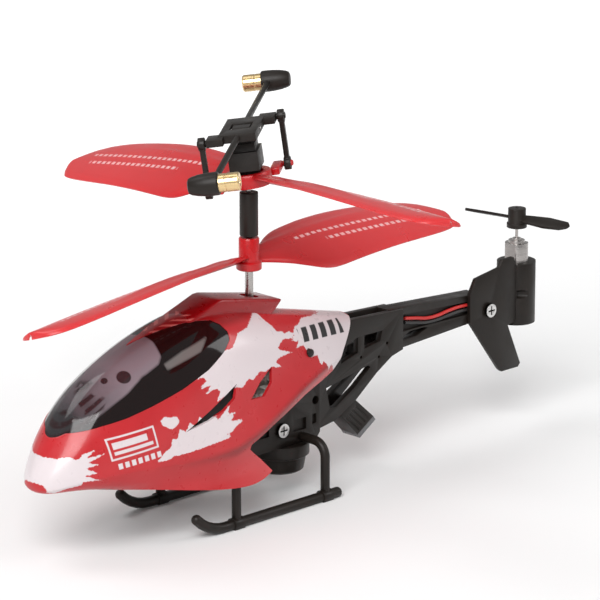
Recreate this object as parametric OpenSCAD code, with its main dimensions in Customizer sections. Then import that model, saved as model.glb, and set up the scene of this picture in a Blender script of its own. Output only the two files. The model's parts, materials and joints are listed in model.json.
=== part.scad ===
// Palm-sized coaxial helicopter: two contra-rotating main rotors, a flybar, a tail boom with a small
// lifting propeller, and a push-fit canopy over a black two-part frame.
// Every sub-part is drawn round the mast axis (X = 0, Y = 0) with Z = 0 on the ground and the nose
// towards -Y; craft() then centres the whole machine over its footprint.

/* [Main rotors] */
// Diameter swept by both main rotors
rotor_d = 147; // [140:1:150]
// Thickness of the moulded blades
blade_t = 0.9; // [0.8:0.1:1.1]
// Blade pitch near the hub, in degrees
pitch_root = 27; // [20:1:30]
// Blade pitch at the tip, in degrees
pitch_tip = 17; // [12:1:20]
// How far the blade tips droop below the hub
tip_droop = 3.5; // [0:0.5:5]
// Height of the lower rotor's blade plane
lower_rotor_z = 61; // [60:0.5:62]
// Direction of the lower rotor at rest, seen from above, in degrees
lower_rotor_turn = -85; // [-180:1:180]

/* [Rotor head] */
// Height of the pivot that the upper rotor and the head swing about
pivot_z = 81; // [80:0.5:81.5]
// Direction of the flybar at rest, seen from above, in degrees
flybar_turn = -51; // [-180:1:180]
// Direction of the upper rotor past the flybar, in degrees
upper_rotor_turn = 44; // [40:1:50]
// Sideways lean of the head at rest, in degrees
head_lean = 8; // [-8:1:8]
// Height of the flybar above the pivot
flybar_rise = 11.8; // [11.6:0.2:12.4]
// Distance from the mast to the centre of each flybar weight
flybar_reach = 53; // [50:1:56]
// Distance from the mast to each pushrod, along the flybar
rod_reach = 11; // [10.5:0.5:11.5]
// Distance from the flybar's line to each pushrod
rod_side = 7.2; // [7:0.1:7.6]

/* [Mast and gears] */
// Diameter of the solid inner shaft
shaft_d = 1.0; // [1.0:0.1:1.1]
// Outer diameter of the steel tube that carries the lower rotor
tube_d = 2.0; // [1.9:0.1:2.1]
// Running clearance round a shaft, on the radius
running_gap = 0.05; // [0.03:0.01:0.08]
// Gear module
tooth_module = 0.4; // [0.4:0.1:0.4]
// Number of teeth on each main gear
gear_teeth = 50; // [50:10:50]
// Number of teeth on each motor pinion
pinion_teeth = 10; // [10:10:10]
// Extra distance between each motor and the mast
backlash = 0.08; // [0.04:0.02:0.12]

/* [Body] */
// Canopy wall thickness
canopy_wall = 0.8; // [0.7:0.1:1.0]
// Outer distance from the middle plane to the front frame plates
plate_out = 5.2; // [5:0.1:5.4]
// Half width of the rear frame
rear_out = 3.4; // [3.2:0.1:3.5]
// Half width of the tail boom
boom_out = 2.4; // [2.2:0.1:2.6]
// Diameter of both main motors
motor_d = 7; // [6.8:0.1:7]
// Length of both main motors
motor_len = 15; // [14:0.5:15]

/* [Tail] */
// Distance from the mast to the tail motor
tail_y = 95.2; // [94:0.2:96]
// Diameter of the tail motor
tail_motor_d = 6; // [5.8:0.1:6]
// Diameter of the tail propeller
tail_prop_d = 31; // [29:0.5:33]
// Direction of the tail propeller at rest, in degrees
tail_prop_turn = 11; // [-90:1:90]

/* [Landing gear] */
// Distance between the two skids
track = 26.8; // [26:0.2:28]
// Diameter of the skid bars
skid_d = 2.6; // [2.4:0.1:2.8]
// Position of the front struts along the body
front_strut_y = -17.3; // [-18:0.1:-16]
// Position of the rear struts along the body
rear_strut_y = 12.6; // [12:0.1:13]

/* [Hidden] */
$fn = 32;

// Middle of the footprint, measured from the mast along +Y
middle_y = 13;
// Colours of the moulded parts
black = [0.07, 0.07, 0.07];
red = [0.82, 0.07, 0.1];
steel = [0.75, 0.75, 0.77];
brass = [0.85, 0.68, 0.3];

// Gear train
gear_pitch_r = tooth_module * gear_teeth / 2;
pinion_pitch_r = tooth_module * pinion_teeth / 2;
motor_y = gear_pitch_r + pinion_pitch_r + backlash;
lower_gear_z = 28;
upper_gear_z = 33;
gear_t = 2;
hub_r = 2.6;
pinion_t = 3.2;
motor_shaft_r = 0.5;
shaft_past_motor = 8.5;
front_motor_z = 12;
rear_motor_z = 7;

// Mast
shaft_r = shaft_d / 2;
tube_r = tube_d / 2;
tube_bore_r = shaft_r + running_gap;
mast_foot_z = 14;
lower_block_z = 15;
lower_block_h = 4;
upper_block_z = 40;
upper_block_h = 3.5;
bush_r = 2.4;
sleeve_r = 2.25;
sleeve_z = 66.8;
sleeve_top_z = 77.5;

// Head, measured from the pivot
pin_r = 0.5;
stem_r = 3.0;
stem_cavity_r = 1.9;
ring_in_r = 3.8;
ring_out_r = 5.6;
head_z = 2.5;
lug_x = 2;
lug_y = 2.1;
ear_pin_r = 0.7;
rod_t = 1.6;
rod_eye_r = 1.6;
cap_r = 2.7;

// Blade outline: fraction of the radius, leading edge, trailing edge
blade_plan = [[0.02, 1.4, -1.5], [0.1, 3.6, -3.8], [0.15, 5.6, -5.6], [0.2, 6.8, -7.6],
              [0.28, 7.8, -10.3], [0.37, 8.7, -10.2], [0.5, 9.4, -9.4], [0.65, 9.5, -8.5],
              [0.8, 8.9, -7.8], [0.9, 7.8, -7.4], [0.96, 5.9, -6.9], [0.99, 3.0, -6.0], [1, 0, -4.4]];

// Canopy sections: Y, then height and half width of the hem, the waist, the shoulder and the ridge
canopy_plan = [[-70, 18.4, 1.6, 19.4, 2.4, 20.4, 2, 21.2, 0.8],
               [-67.6, 17.3, 4.4, 20, 5.8, 24, 4.4, 26, 1.4],
               [-62, 17.8, 7.4, 22, 9.2, 29, 7.4, 34.6, 2.2],
               [-54, 17.2, 10, 24, 12, 33.6, 10.2, 41.4, 3],
               [-44, 16, 12, 25, 14, 37, 12, 46.2, 4],
               [-32, 13.8, 14.4, 25, 15, 41, 12.8, 50, 5],
               [-19, 11.2, 15.4, 22, 15.8, 45, 12.8, 52.4, 5.6],
               [-8, 10.8, 14.9, 26, 15, 45, 11.8, 50.6, 5.4],
               [4, 20, 12.6, 30, 13.4, 43, 10, 47.2, 4.6],
               [18, 26, 9.4, 32, 10.2, 40.6, 7, 44, 4],
               [31.5, 29, 6.4, 34, 6.8, 39, 5.6, 41.2, 3.5]];
// Side outline of what the canopy leaves open below its tail
canopy_cut = [[-5.5, 8], [-6.4, 12.4], [-14.5, 20.2], [-6, 24.2], [6.5, 28.2], [18.6, 31], [31, 40.8],
              [36, 44], [40, 8]];
// Side outline of the raised deck round the mast
deck_side = [[-26, 50], [-14.3, 54.4], [6.9, 50.5], [2.6, 46.8], [-10, 46]];
deck_half = 5;
// Side outline of the windshield, and the plan of the wedge that splits its rear
window_side = [[-67.5, 27.4], [-62, 31.4], [-56, 33], [-42.4, 36], [-25.6, 41], [-16.4, 46.3],
               [-19.2, 51], [-26, 56], [-70, 56]];
wedge_plan = [[-39, 0], [-19, 6], [-10, 6], [-10, -6], [-19, -6]];
vents = [[[-33.6, 28.8], [-19, 34.6], [-20, 32.4]], [[-12.4, 32], [-5.2, 36.2], [-6.2, 34.3], [-9.4, 31.8]]];

// Frame outlines, Y and Z
front_plate = [[-22, 13], [17.8, 13], [19, 14.4], [19, 39], [8, 43.5], [-10, 43.5], [-22, 40]];
rear_plate = [[15.4, 13], [18, 14], [26, 15.2], [33.4, 19], [40.6, 24.4], [46, 27.6], [50, 28.6], [50, 39],
              [31, 39.9], [15.4, 41]];
boom_side = [[46, 27.8], [50, 28.6], [56.5, 28.9], [79, 30.2], [79, 37.2], [46, 39.3]];
gear_window = [20.6, 8.4];
boom_channel = [[50, 32.8], [57, 32.8], [78, 32.4], [78, 35.6], [50, 37.2]];
boom_slot = [[50.3, 30.9], [51.6, 30.6], [56, 30.7], [60, 32], [58.4, 32.4], [53.4, 32.4]];
lower_opening = [[24.2, 18.8], [26.4, 18.7], [33, 22.4], [38.4, 26.4], [37.6, 27], [22.9, 24.2]];
upper_openings = [[[28, 29.4], [34, 31], [34, 35], [28, 33]],
                  [[36.2, 31.5], [41.8, 32.4], [42.6, 35], [36.2, 35]]];
speck_holes = [[25.4, 31.4], [35.1, 29.6], [44.3, 31.4], [41.4, 28.4]];
fin_side = [[74.3, 38], [76.4, 41.6], [85, 42.9], [86.4, 44.8], [90.4, 44.8], [91.5, 42.4], [91.5, 27.6],
            [88.5, 27.1], [93.4, 16], [92.6, 15.1], [86.4, 15.1], [85.4, 15.9], [74.4, 30.4]];

// Tail
holder_r = 5;
holder_z = 26.3;
holder_h = 16.1;
tail_motor_z = 34.4;
tail_motor_h = 14;
tail_shaft_r = 0.4;
prop_z = 51.2;
fin_screw_at = [81.4, 32.5];

// Landing gear
skid_x = track / 2;
skid_z = 1.2;
skid_rear_y = 16.6;
skid_bend_y = -21;
skid_bend_r = 13;
skid_bend = 46;
strut_r = 1.15;
strut_top_z = 14.6;
strut_bend_r = 3.6;

// Screw positions on the frame, Y and Z
screw_at = [5.8, 17.6];
peg_at = [9.8, 37.6];

function unit(v) = v / norm(v);
function mix(a, b, t) = a + (b - a) * t;
function polar(r, a) = [r * cos(a), r * sin(a)];

// Outline of a straight-flanked gear: one tooth after another
function gear_outline(teeth, root_r, tip_r, root_half, tip_half, turn) =
    [for (i = [0:teeth - 1]) let (a = turn + 360 * i / teeth)
     each [polar(root_r, a - root_half), polar(tip_r, a - tip_half),
           polar(tip_r, a + tip_half), polar(root_r, a + root_half)]];

// Centres the machine over its footprint
module craft() { translate([0, -middle_y, 0]) children(); }

// A side outline (Y, Z) extruded across the body from x0 to x1
module side_slab(x0, x1) {
    translate([x0, 0, 0]) rotate([90, 0, 90]) linear_extrude(x1 - x0) children();
}

// A pin, hole or boss across the body at [Y, Z]
module cross_pin(at, x0, x1, r) {
    translate([x0, at[0], at[1]]) rotate([0, 90, 0]) cylinder(h = x1 - x0, r = r);
}

// A pin along Y
module long_pin(y0, y1, r) { translate([0, y0, 0]) rotate([-90, 0, 0]) cylinder(h = y1 - y0, r = r); }

// The same piece on the other side of the middle plane
module other_side() { mirror([1, 0, 0]) children(); }

// Frame of the rotor head: X along the flybar, Z up the leaning head, origin at the pivot
module head_frame(lean) {
    craft() translate([0, 0, pivot_z]) rotate([0, 0, flybar_turn]) rotate([lean, 0, 0]) children();
}

// ---- canopy -------------------------------------------------------------------------------------

// One cross section of the canopy, shrunk inwards by the wall where it is cut from the inside
module canopy_section(s, wall, drop) {
    translate([0, s[0], 0]) rotate([90, 0, 0]) linear_extrude(0.02)
        polygon([for (side = [1, -1]) for (i = [0:3]) let (k = side > 0 ? i : 3 - i)
                 [side * max(s[2 + 2 * k] - wall, 0.3),
                  s[1 + 2 * k] - (k == 3 ? wall : 0) - (k == 0 ? drop : 0)]]);
}

module canopy_body(wall, drop, first) {
    for (i = [first:len(canopy_plan) - 2]) hull() {
        canopy_section(canopy_plan[i], wall, drop);
        canopy_section(canopy_plan[i + 1], wall, drop);
    }
}

module canopy_shell() {
    difference() {
        union() {
            canopy_body(0, 0, 0);
            side_slab(-deck_half, deck_half) polygon(deck_side);
        }
        canopy_body(canopy_wall, 4, 2);
        side_slab(-20, 20) polygon(canopy_cut);
        translate([0, 0, 40]) cylinder(h = 16, r = 2.3);
        translate([0, 32.5, 30]) cube([20, 2, 40], center = true);
    }
}

module window_zone() {
    difference() {
        side_slab(-20, 20) polygon(window_side);
        translate([0, 0, 30]) linear_extrude(30) polygon([for (p = wedge_plan) [p[1], p[0]]]);
    }
}

module canopy() {
    color(red) craft() difference() {
        canopy_shell();
        window_zone();
        for (vent = vents) side_slab(-20, 20) polygon(vent);
        cross_pin(peg_at, -20, 20, 1.15);
    }
}

module windshield() {
    color([0.1, 0.08, 0.08, 0.6]) craft() intersection() {
        canopy_shell();
        window_zone();
    }
}

module cockpit_tub() {
    color(black) craft() side_slab(-8, 8)
        polygon([[-57, 28], [-52, 34], [-44, 35.5], [-30, 40], [-22.5, 45], [-22.5, 31], [-48, 28],
                 [-51.5, 26.2], [-57, 26.2]]);
}

module canopy_pegs() {
    color(black) craft() for (side = [-1, 1])
        cross_pin(peg_at, side > 0 ? plate_out : -11.4, side > 0 ? 11.4 : -plate_out, 1.0);
}

// ---- frame --------------------------------------------------------------------------------------

module frame_half() {
    difference() {
        union() {
            side_slab(3.9, plate_out) polygon(front_plate);
            side_slab(1.8, rear_out) polygon(rear_plate);
            side_slab(rear_out - 0.4, 4.4) polygon([[15.4, 13], [19, 14.4], [19, 39], [15.4, 41]]);
            side_slab(0, boom_out) polygon(boom_side);
        }
        // window that the two main gears reach out through
        translate([4.5, 0, (lower_gear_z + upper_gear_z + gear_t) / 2])
            cube([3, gear_window[0], gear_window[1]], center = true);
        // lightening pockets, open outwards
        side_slab(plate_out - 0.9, plate_out + 1) {
            polygon([[-20, 15.5], [-12, 15.5], [-12, 26], [-20, 26]]);
            polygon([[-2.6, 16.8], [1.6, 16.8], [1.6, 19.8], [-2.6, 19.8]]);
            polygon([[9.8, 16.2], [14.2, 16.2], [14.2, 19.2], [9.8, 19.2]]);
            polygon([[16.3, 16.8], [17.7, 17], [17.7, 19.4], [16.3, 19.4]]);
        }
        side_slab(1, plate_out + 1) polygon(lower_opening);
        side_slab(1, plate_out + 1) for (p = upper_openings) polygon(p);
        side_slab(boom_out - 1, plate_out + 1) polygon(boom_channel);
        side_slab(-1, plate_out + 1) polygon(boom_slot);
        cross_pin([17.4, 22.8], 1, 6, 1.1);
        cross_pin([8.2, 23], 3, 6, 0.8);
        for (at = speck_holes) cross_pin(at, 1, 6, 0.4);
        cross_pin(screw_at, 3, 6, 1);
    }
}

module frame_left() { color(black) craft() frame_half(); }

module frame_right() { color(black) craft() other_side() frame_half(); }

module bearing_block(z, h, y) {
    difference() {
        translate([-3.9, -y, z]) cube([7.8, 2 * y, h]);
        translate([0, 0, z - 1]) cylinder(h = h + 2, r = bush_r);
    }
}

module lower_bearing_block() { color(black) craft() bearing_block(lower_block_z, lower_block_h, 8.1); }

module upper_bearing_block() { color(black) craft() bearing_block(upper_block_z, upper_block_h, 5); }

module bush(z, h, bore) {
    translate([0, 0, z]) difference() {
        cylinder(h = h, r = bush_r);
        translate([0, 0, -1]) cylinder(h = h + 2, r = bore);
    }
}

module lower_bearing() { color(brass) craft() bush(lower_block_z, lower_block_h, shaft_r + running_gap); }

module upper_bearing() { color(brass) craft() bush(upper_block_z, upper_block_h, tube_r + running_gap); }

module frame_screws() {
    color(steel) craft() for (side = [0, 1]) mirror([side, 0, 0]) difference() {
        union() {
            cross_pin(screw_at, 3.9, plate_out + 0.01, 1);
            cross_pin(screw_at, plate_out, plate_out + 0.9, 1.75);
        }
        translate([plate_out + 0.9, screw_at[0], screw_at[1]]) {
            cube([0.8, 2.4, 0.4], center = true);
            cube([0.8, 0.4, 2.4], center = true);
        }
    }
}

// ---- power --------------------------------------------------------------------------------------

module main_motor(y, z) {
    translate([0, y, z]) difference() {
        cylinder(h = motor_len, d = motor_d);
        translate([0, 0, 6]) cylinder(h = motor_len, r = motor_shaft_r + running_gap);
    }
}

module front_motor() { color(steel) craft() main_motor(-motor_y, front_motor_z); }

module rear_motor() { color(steel) craft() main_motor(motor_y, rear_motor_z); }

module motor_shaft(y, z) {
    translate([0, y, z + 7]) cylinder(h = motor_len + shaft_past_motor - 7, r = motor_shaft_r);
}

module front_motor_shaft() { color(steel) craft() motor_shaft(-motor_y, front_motor_z); }

module rear_motor_shaft() { color(steel) craft() motor_shaft(motor_y, rear_motor_z); }

module motor_cup() {
    color(black) craft() translate([0, motor_y - 2, 5.6]) difference() {
        rotate_extrude() polygon([[0, 0], [5, 0], [6, 0.6], [6.6, 4], [7.4, 4.4], [7.4, 7.4], [0, 7.4]]);
        translate([0, 2, 1.4]) cylinder(h = 10, d = motor_d);
    }
}

module pinion(y, z) {
    translate([0, y, z]) difference() {
        linear_extrude(pinion_t) polygon(gear_outline(pinion_teeth, pinion_pitch_r - 0.55,
            pinion_pitch_r + 0.38, 12, 4, 18));
        translate([0, 0, -1]) cylinder(h = pinion_t + 2, r = motor_shaft_r);
    }
}

module front_pinion() { color(brass) craft() pinion(-motor_y, upper_gear_z - 0.6); }

module rear_pinion() { color(brass) craft() pinion(motor_y, lower_gear_z - 0.6); }

module main_gear(z, bore) {
    translate([0, 0, z]) difference() {
        union() {
            linear_extrude(gear_t) polygon(gear_outline(gear_teeth, gear_pitch_r - 0.55,
                gear_pitch_r + 0.36, 2.2, 0.8, 0));
            translate([0, 0, -1.2]) cylinder(h = 4.2, r = hub_r);
        }
        translate([0, 0, -2]) cylinder(h = 8, r = bore);
        for (a = [0:60:300]) rotate([0, 0, a]) translate([6, 0, -2]) cylinder(h = 6, r = 1.7);
    }
}

module upper_main_gear() { color([0.9, 0.9, 0.86]) craft() main_gear(upper_gear_z, tube_r); }

module lower_main_gear() { color([0.9, 0.9, 0.86]) craft() main_gear(lower_gear_z, shaft_r); }

module battery_tray() {
    color(black) craft() union() {
        translate([-7, -52, 17.4]) cube([14, 30, 1]);
        for (side = [-1, 1]) translate([side * 6.5 - 0.5, -52, 17.4]) cube([1, 30, 4]);
        for (side = [-1, 1]) translate([side * 4.5 - 0.6, -24.5, 17.4]) cube([1.2, 2.5, 7.8]);
        // arm that reaches forward to the chin of the canopy
        translate([-2, -62.02, 17.4]) cube([4, 10.52, 1]);
    }
}

module battery() {
    color([0.72, 0.74, 0.78]) craft() hull() for (x = [-3.4, 3.4])
        translate([x, -51, 18.4 + 2.4]) rotate([-90, 0, 0]) cylinder(h = 25, r = 2.4, $fn = 24);
}

module circuit_board() {
    color([0.05, 0.3, 0.12]) craft() union() {
        translate([-8, -52, 25.2]) cube([16, 30, 1]);
        for (side = [-1, 1]) translate([side * 6.5 - 0.5, -50, 21.4]) cube([1, 26, 3.8]);
    }
}

module board_parts() {
    color([0.1, 0.1, 0.11]) craft() {
        translate([-3, -40, 26.2]) cube([6, 6, 1.2]);
        for (x = [-6, 4]) translate([x, -34, 26.2]) cube([2, 3, 0.9]);
        for (y = [-32:4:-26]) translate([2, y, 26.2]) cube([1.4, 2.4, 0.8]);
        translate([-6, -29, 26.2]) cube([4, 5, 1.6]);
    }
}

module status_lamp() {
    color([0.9, 0.15, 0.1, 0.8]) craft() translate([0, -46, 26.2]) union() {
        cylinder(h = 0.4, r = 1.1);
        cylinder(h = 0.8, r = 0.9);
    }
}

module receiver_pod() {
    color(black) craft() difference() {
        side_slab(-3, 3) polygon([[28, 16.2], [33.4, 19], [40, 13.2], [34.4, 9.6]]);
        for (k = [0:3]) translate([0, 29.4 + 1.15 * k, 15.4 + 0.75 * k]) rotate([-41, 0, 0])
            for (side = [-1, 1]) translate([side * 3.1, 4, 0]) cube([0.6, 6, 0.5], center = true);
    }
}

module receiver_lens() {
    color([0.4, 0.4, 0.42]) craft() side_slab(-3, 3)
        polygon([[34.4, 9.6], [40, 13.2], [40.8, 12.2], [35.2, 8.5]]);
}

module charge_socket() {
    color(black) craft() translate([0, -5, 9]) difference() {
        cylinder(h = 6, r = 2.3);
        translate([0, 0, -1]) cylinder(h = 6, r = 1.25);
    }
}

module switch_body() {
    color([0.2, 0.2, 0.22]) craft() difference() {
        translate([-2, -34, 14.4]) cube([4, 8, 3]);
        translate([-0.8, -32.2, 14]) cube([1.6, 4.4, 1.6]);
    }
}

module switch_slider() { color(black) craft() translate([-0.7, -32.1, 13.2]) cube([1.4, 2, 2.3]); }

// ---- tail ---------------------------------------------------------------------------------------

module tail_fin() {
    color(black) craft() difference() {
        side_slab(boom_out, boom_out + 1.1) polygon(fin_side);
        translate([0, tail_y, holder_z - 0.5]) cylinder(h = 30, r = holder_r);
        cross_pin(fin_screw_at, 0, 6, 1);
    }
}

module tail_motor_holder() {
    color(black) craft() difference() {
        union() {
            translate([0, tail_y, holder_z]) cylinder(h = holder_h, r = holder_r);
            // tongue that the boom's end slips onto
            translate([-1.6, 79, 30.4]) cube([3.2, 12, 6.6]);
        }
        translate([0, tail_y, tail_motor_z - 0.4]) cylinder(h = 20, r = tail_motor_d / 2);
        translate([0, tail_y, holder_z - 1]) cylinder(h = 8, r = 2.4);
        cross_pin(fin_screw_at, 0.2, 3, 1);
        translate([boom_out + 1, 91.8, 34.6]) rotate([0, 90, 40]) cylinder(h = 6, r = 1.1);
    }
}

module tail_motor() {
    color(steel) craft() translate([0, tail_y, tail_motor_z]) difference() {
        union() {
            intersection() {
                cylinder(h = tail_motor_h - 1.2, r = tail_motor_d / 2);
                cube([2 * tail_motor_d, 4.9, 60], center = true);
            }
            translate([0, 0, -0.4]) cylinder(h = 3, r = tail_motor_d / 2);
            translate([0, 0, tail_motor_h - 1.2]) cylinder(h = 0.7, r = 2.1);
            cylinder(h = tail_motor_h, r = 1.1);
        }
        translate([0, 0, 4]) cylinder(h = 20, r = tail_shaft_r + running_gap);
    }
}

module tail_motor_shaft() {
    color(steel) craft() translate([0, tail_y, tail_motor_z + 5]) cylinder(h = 16.6, r = tail_shaft_r);
}

module tail_prop() {
    color(black) craft() translate([0, tail_y, prop_z]) difference() {
        union() {
            cylinder(h = 5, r = 2.3);
            cylinder(h = 1.2, r = 2.6);
            for (a = [0, 180]) rotate([0, 0, tail_prop_turn + a]) translate([0, 0, 2.4]) rotate([20, 0, 0])
                translate([0, 0, -0.35]) linear_extrude(0.7)
                polygon([[1, -1.2], [4, -1.7], [9, -2.3], [13.5, -1.9], [15.2, -0.8], [15.5, 0.4],
                         [14.6, 1.4], [9, 2], [4, 1.6], [1, 1.2]] * (tail_prop_d / 31));
        }
        translate([0, 0, -1]) cylinder(h = 8, r = tail_shaft_r);
    }
}

module fin_screw() {
    color(steel) craft() difference() {
        union() {
            cross_pin(fin_screw_at, 0.2, 3.6, 1);
            cross_pin(fin_screw_at, 3.5, 4.4, 1.75);
        }
        translate([4.4, fin_screw_at[0], fin_screw_at[1]]) {
            cube([0.8, 2.4, 0.4], center = true);
            cube([0.8, 0.4, 2.4], center = true);
        }
    }
}

// Points round one ring of a wire
function wire_ring(points, i, r, sides) =
    let (t = unit(points[min(i + 1, len(points) - 1)] - points[max(i - 1, 0)]),
         side = unit(cross(t, [1, 0.1, 0.3])), up = cross(side, t))
    [for (k = [0:sides - 1]) points[i] + r * (cos(360 * k / sides) * side + sin(360 * k / sides) * up)];

module wire(points, r, sides = 8) {
    last = len(points) - 1;
    polyhedron([for (i = [0:last]) each wire_ring(points, i, r, sides)],
        [[for (k = [0:sides - 1]) k],
         for (i = [0:last - 1]) for (k = [0:sides - 1]) let (n = (k + 1) % sides)
            [i * sides + n, i * sides + k, (i + 1) * sides + k, (i + 1) * sides + n],
         [for (k = [sides - 1:-1:0]) last * sides + k]]);
}

red_wire_route = [[1.9, 52, 35.9], [1.9, 56, 35.2], [1.9, 60, 34.4], [1.9, 64, 34.3], [1.9, 68, 34.8],
                  [1.9, 72, 35], [1.9, 77.5, 34.6]];
black_wire_route = [[1.9, 52, 34.8], [1.9, 56, 34], [1.9, 60, 33.3], [1.9, 64, 33.2], [1.9, 68, 33.6],
                    [1.9, 72, 33.8], [1.9, 77.5, 33.4]];

module tail_wire_red() { color([0.75, 0.08, 0.08]) craft() wire(red_wire_route, 0.45); }

module tail_wire_black() { color([0.12, 0.12, 0.12]) craft() wire(black_wire_route, 0.45); }

// ---- landing gear -------------------------------------------------------------------------------

// An arm out of the frame's side that bends down to the skid
module strut(y) {
    translate([0, y, 0]) {
        translate([plate_out, 0, strut_top_z]) rotate([0, 90, 0])
            cylinder(h = skid_x - strut_bend_r - plate_out, r = strut_r);
        translate([skid_x - strut_bend_r, 0, strut_top_z - strut_bend_r]) rotate([90, 0, 0])
            rotate_extrude(angle = 90) translate([strut_bend_r, 0]) circle(strut_r);
        translate([skid_x, 0, 2.2]) cylinder(h = strut_top_z - strut_bend_r - 2.2, r = strut_r);
    }
}

module front_strut_left() { color(black) craft() strut(front_strut_y); }

module front_strut_right() { color(black) craft() other_side() strut(front_strut_y); }

module rear_strut_left() { color(black) craft() strut(rear_strut_y); }

module rear_strut_right() { color(black) craft() other_side() strut(rear_strut_y); }

module skid() {
    r = skid_d / 2;
    difference() {
        translate([skid_x, 0, skid_z]) {
            long_pin(skid_bend_y, skid_rear_y, r);
            translate([0, skid_rear_y, 0]) sphere(r);
            // curled front end
            translate([0, skid_bend_y, skid_bend_r]) rotate([90, 0, -90])
                rotate([0, 0, -90]) rotate_extrude(angle = skid_bend) translate([skid_bend_r, 0]) circle(r);
            translate([0, skid_bend_y - skid_bend_r * sin(skid_bend), skid_bend_r * (1 - cos(skid_bend))])
                sphere(r);
            // collars round the feet of the struts
            for (y = [front_strut_y, rear_strut_y]) translate([0, y, 0]) long_pin(-1.6, 1.6, r + 0.35);
        }
        translate([0, 0, -5]) cube([60, 90, 10], center = true);
        for (y = [front_strut_y, rear_strut_y]) translate([skid_x, y, 2.2]) cylinder(h = 4, r = strut_r);
    }
}

module left_skid() { color(black) craft() skid(); }

module right_skid() { color(black) craft() other_side() skid(); }

// ---- rotors -------------------------------------------------------------------------------------

blade_steps = len(blade_plan) - 1;
chord_steps = 5;

// A point of a blade: station i along it, fraction c across the chord, face +1 above and -1 below
function blade_point(i, c, face) =
    let (s = blade_plan[i][0], y = mix(blade_plan[i][2], blade_plan[i][1], c),
         pitch = mix(pitch_root, pitch_tip, s), camber = 1.1 * sin(180 * c) * min(1, s * 3),
         thick = blade_t * (0.35 + 0.65 * sin(180 * c)))
    [s * rotor_d / 2, y * cos(pitch), y * sin(pitch) + camber - tip_droop * s * s + face * thick / 2];

module blade() {
    row = chord_steps + 1;
    count = (blade_steps + 1) * row;
    polyhedron(
        [for (face = [1, -1]) for (i = [0:blade_steps]) for (k = [0:chord_steps])
            blade_point(i, k / chord_steps, face)],
        [for (i = [0:blade_steps - 1]) for (k = [0:chord_steps - 1]) let (a = i * row + k)
            each [[a, a + 1, a + row], [a + 1, a + row + 1, a + row],
                  [count + a, count + a + row, count + a + 1],
                  [count + a + 1, count + a + row, count + a + row + 1]],
         for (i = [0:blade_steps - 1]) let (a = i * row, b = a + chord_steps)
            each [[a, a + row, count + a], [count + a, a + row, count + a + row],
                  [b, count + b, b + row], [count + b, count + b + row, b + row]],
         for (k = [0:chord_steps - 1]) let (b = blade_steps * row + k)
            each [[k, count + k, k + 1], [count + k, count + k + 1, k + 1],
                  [b, b + 1, count + b], [count + b, b + 1, count + b + 1]]]);
}

module blade_pair(handed) { for (a = [0, 180]) rotate([0, 0, a]) mirror([0, handed, 0]) blade(); }

// Stub that a pushrod's eye turns on
module rod_pin() {
    translate([rod_reach, -rod_side + 0.6, 0]) rotate([90, 0, 0]) cylinder(h = rod_t + 1.1, r = ear_pin_r);
}

module lower_rotor() {
    color(red) craft() difference() {
        union() {
            translate([0, 0, lower_rotor_z]) rotate([0, 0, lower_rotor_turn]) blade_pair(0);
            translate([0, 0, 58.4]) cylinder(h = 7.9, r = 2.5);
            translate([0, 0, 58.4]) cylinder(h = 2, r = 3.1);
        }
        translate([0, 0, 50]) cylinder(h = 20, r = tube_r);
    }
}

module upper_rotor() {
    color(red) head_frame(head_lean) difference() {
        union() {
            rotate([0, 0, upper_rotor_turn]) blade_pair(1);
            translate([0, 0, -1.7]) cylinder(h = 3.3, r = ring_out_r);
            for (side = [0, 180]) rotate([0, 0, side]) {
                // ear that the pushrod hangs on
                translate([2, -rod_side + 0.1, -0.9]) cube([rod_reach - 1.2, 2.6, 1.8]);
                rod_pin();
            }
        }
        translate([0, 0, -8]) cylinder(h = 16, r = ring_in_r);
        long_pin(-9, 9, pin_r + running_gap);
    }
}

module outer_tube() {
    color(steel) craft() translate([0, 0, upper_gear_z - 1.6]) difference() {
        cylinder(h = 32, r = tube_r);
        translate([0, 0, -1]) cylinder(h = 36, r = tube_bore_r);
    }
}

module inner_shaft() {
    color(steel) craft() translate([0, 0, mast_foot_z])
        cylinder(h = pivot_z - mast_foot_z - 1.2, r = shaft_r);
}

module shaft_sleeve() {
    color(black) craft() translate([0, 0, sleeve_z]) difference() {
        cylinder(h = sleeve_top_z - sleeve_z, r = sleeve_r);
        translate([0, 0, -1]) cylinder(h = 20, r = shaft_r);
    }
}

// Little block on top of the shaft, crossed by the teeter pin
module shaft_block() {
    color(steel) craft() translate([0, 0, pivot_z - 1.2]) rotate([0, 0, flybar_turn]) difference() {
        cylinder(h = 2.4, r = 1.3);
        translate([-5, 0, 1.2]) rotate([0, 90, 0]) cylinder(h = 10, r = pin_r);
    }
}

module teeter_pin() {
    color(steel) head_frame(0) translate([-stem_r + 0.1, 0, 0]) rotate([0, 90, 0])
        cylinder(h = 2 * stem_r - 0.2, r = pin_r);
}

module rotor_head() {
    color(black) head_frame(head_lean) difference() {
        union() {
            translate([0, 0, -1.9]) cylinder(h = head_z + 2, r = stem_r);
            translate([-4.5, -3.6, head_z]) cube([9, 7.2, 4.6]);
            translate([-3.2, -3, head_z + 4.5]) cube([6.4, 6, 1.9]);
            translate([-lug_x, -lug_y, head_z + 6])
                cube([2 * lug_x, 2 * lug_y, flybar_rise - head_z - 5.2]);
        }
        translate([0, 0, -5]) cylinder(h = 7.6, r = stem_cavity_r);
        translate([-6, 0, 0]) rotate([0, 90, 0]) cylinder(h = 12, r = pin_r + running_gap);
        long_pin(-6, 6, pin_r);
        translate([0, 0, flybar_rise]) long_pin(-6, 6, pin_r);
    }
}

module head_pins() {
    color(steel) head_frame(head_lean) for (side = [-1, 1])
        long_pin(side > 0 ? stem_cavity_r : -ring_out_r + 0.2,
                 side > 0 ? ring_out_r - 0.2 : -stem_cavity_r, pin_r);
}

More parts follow.
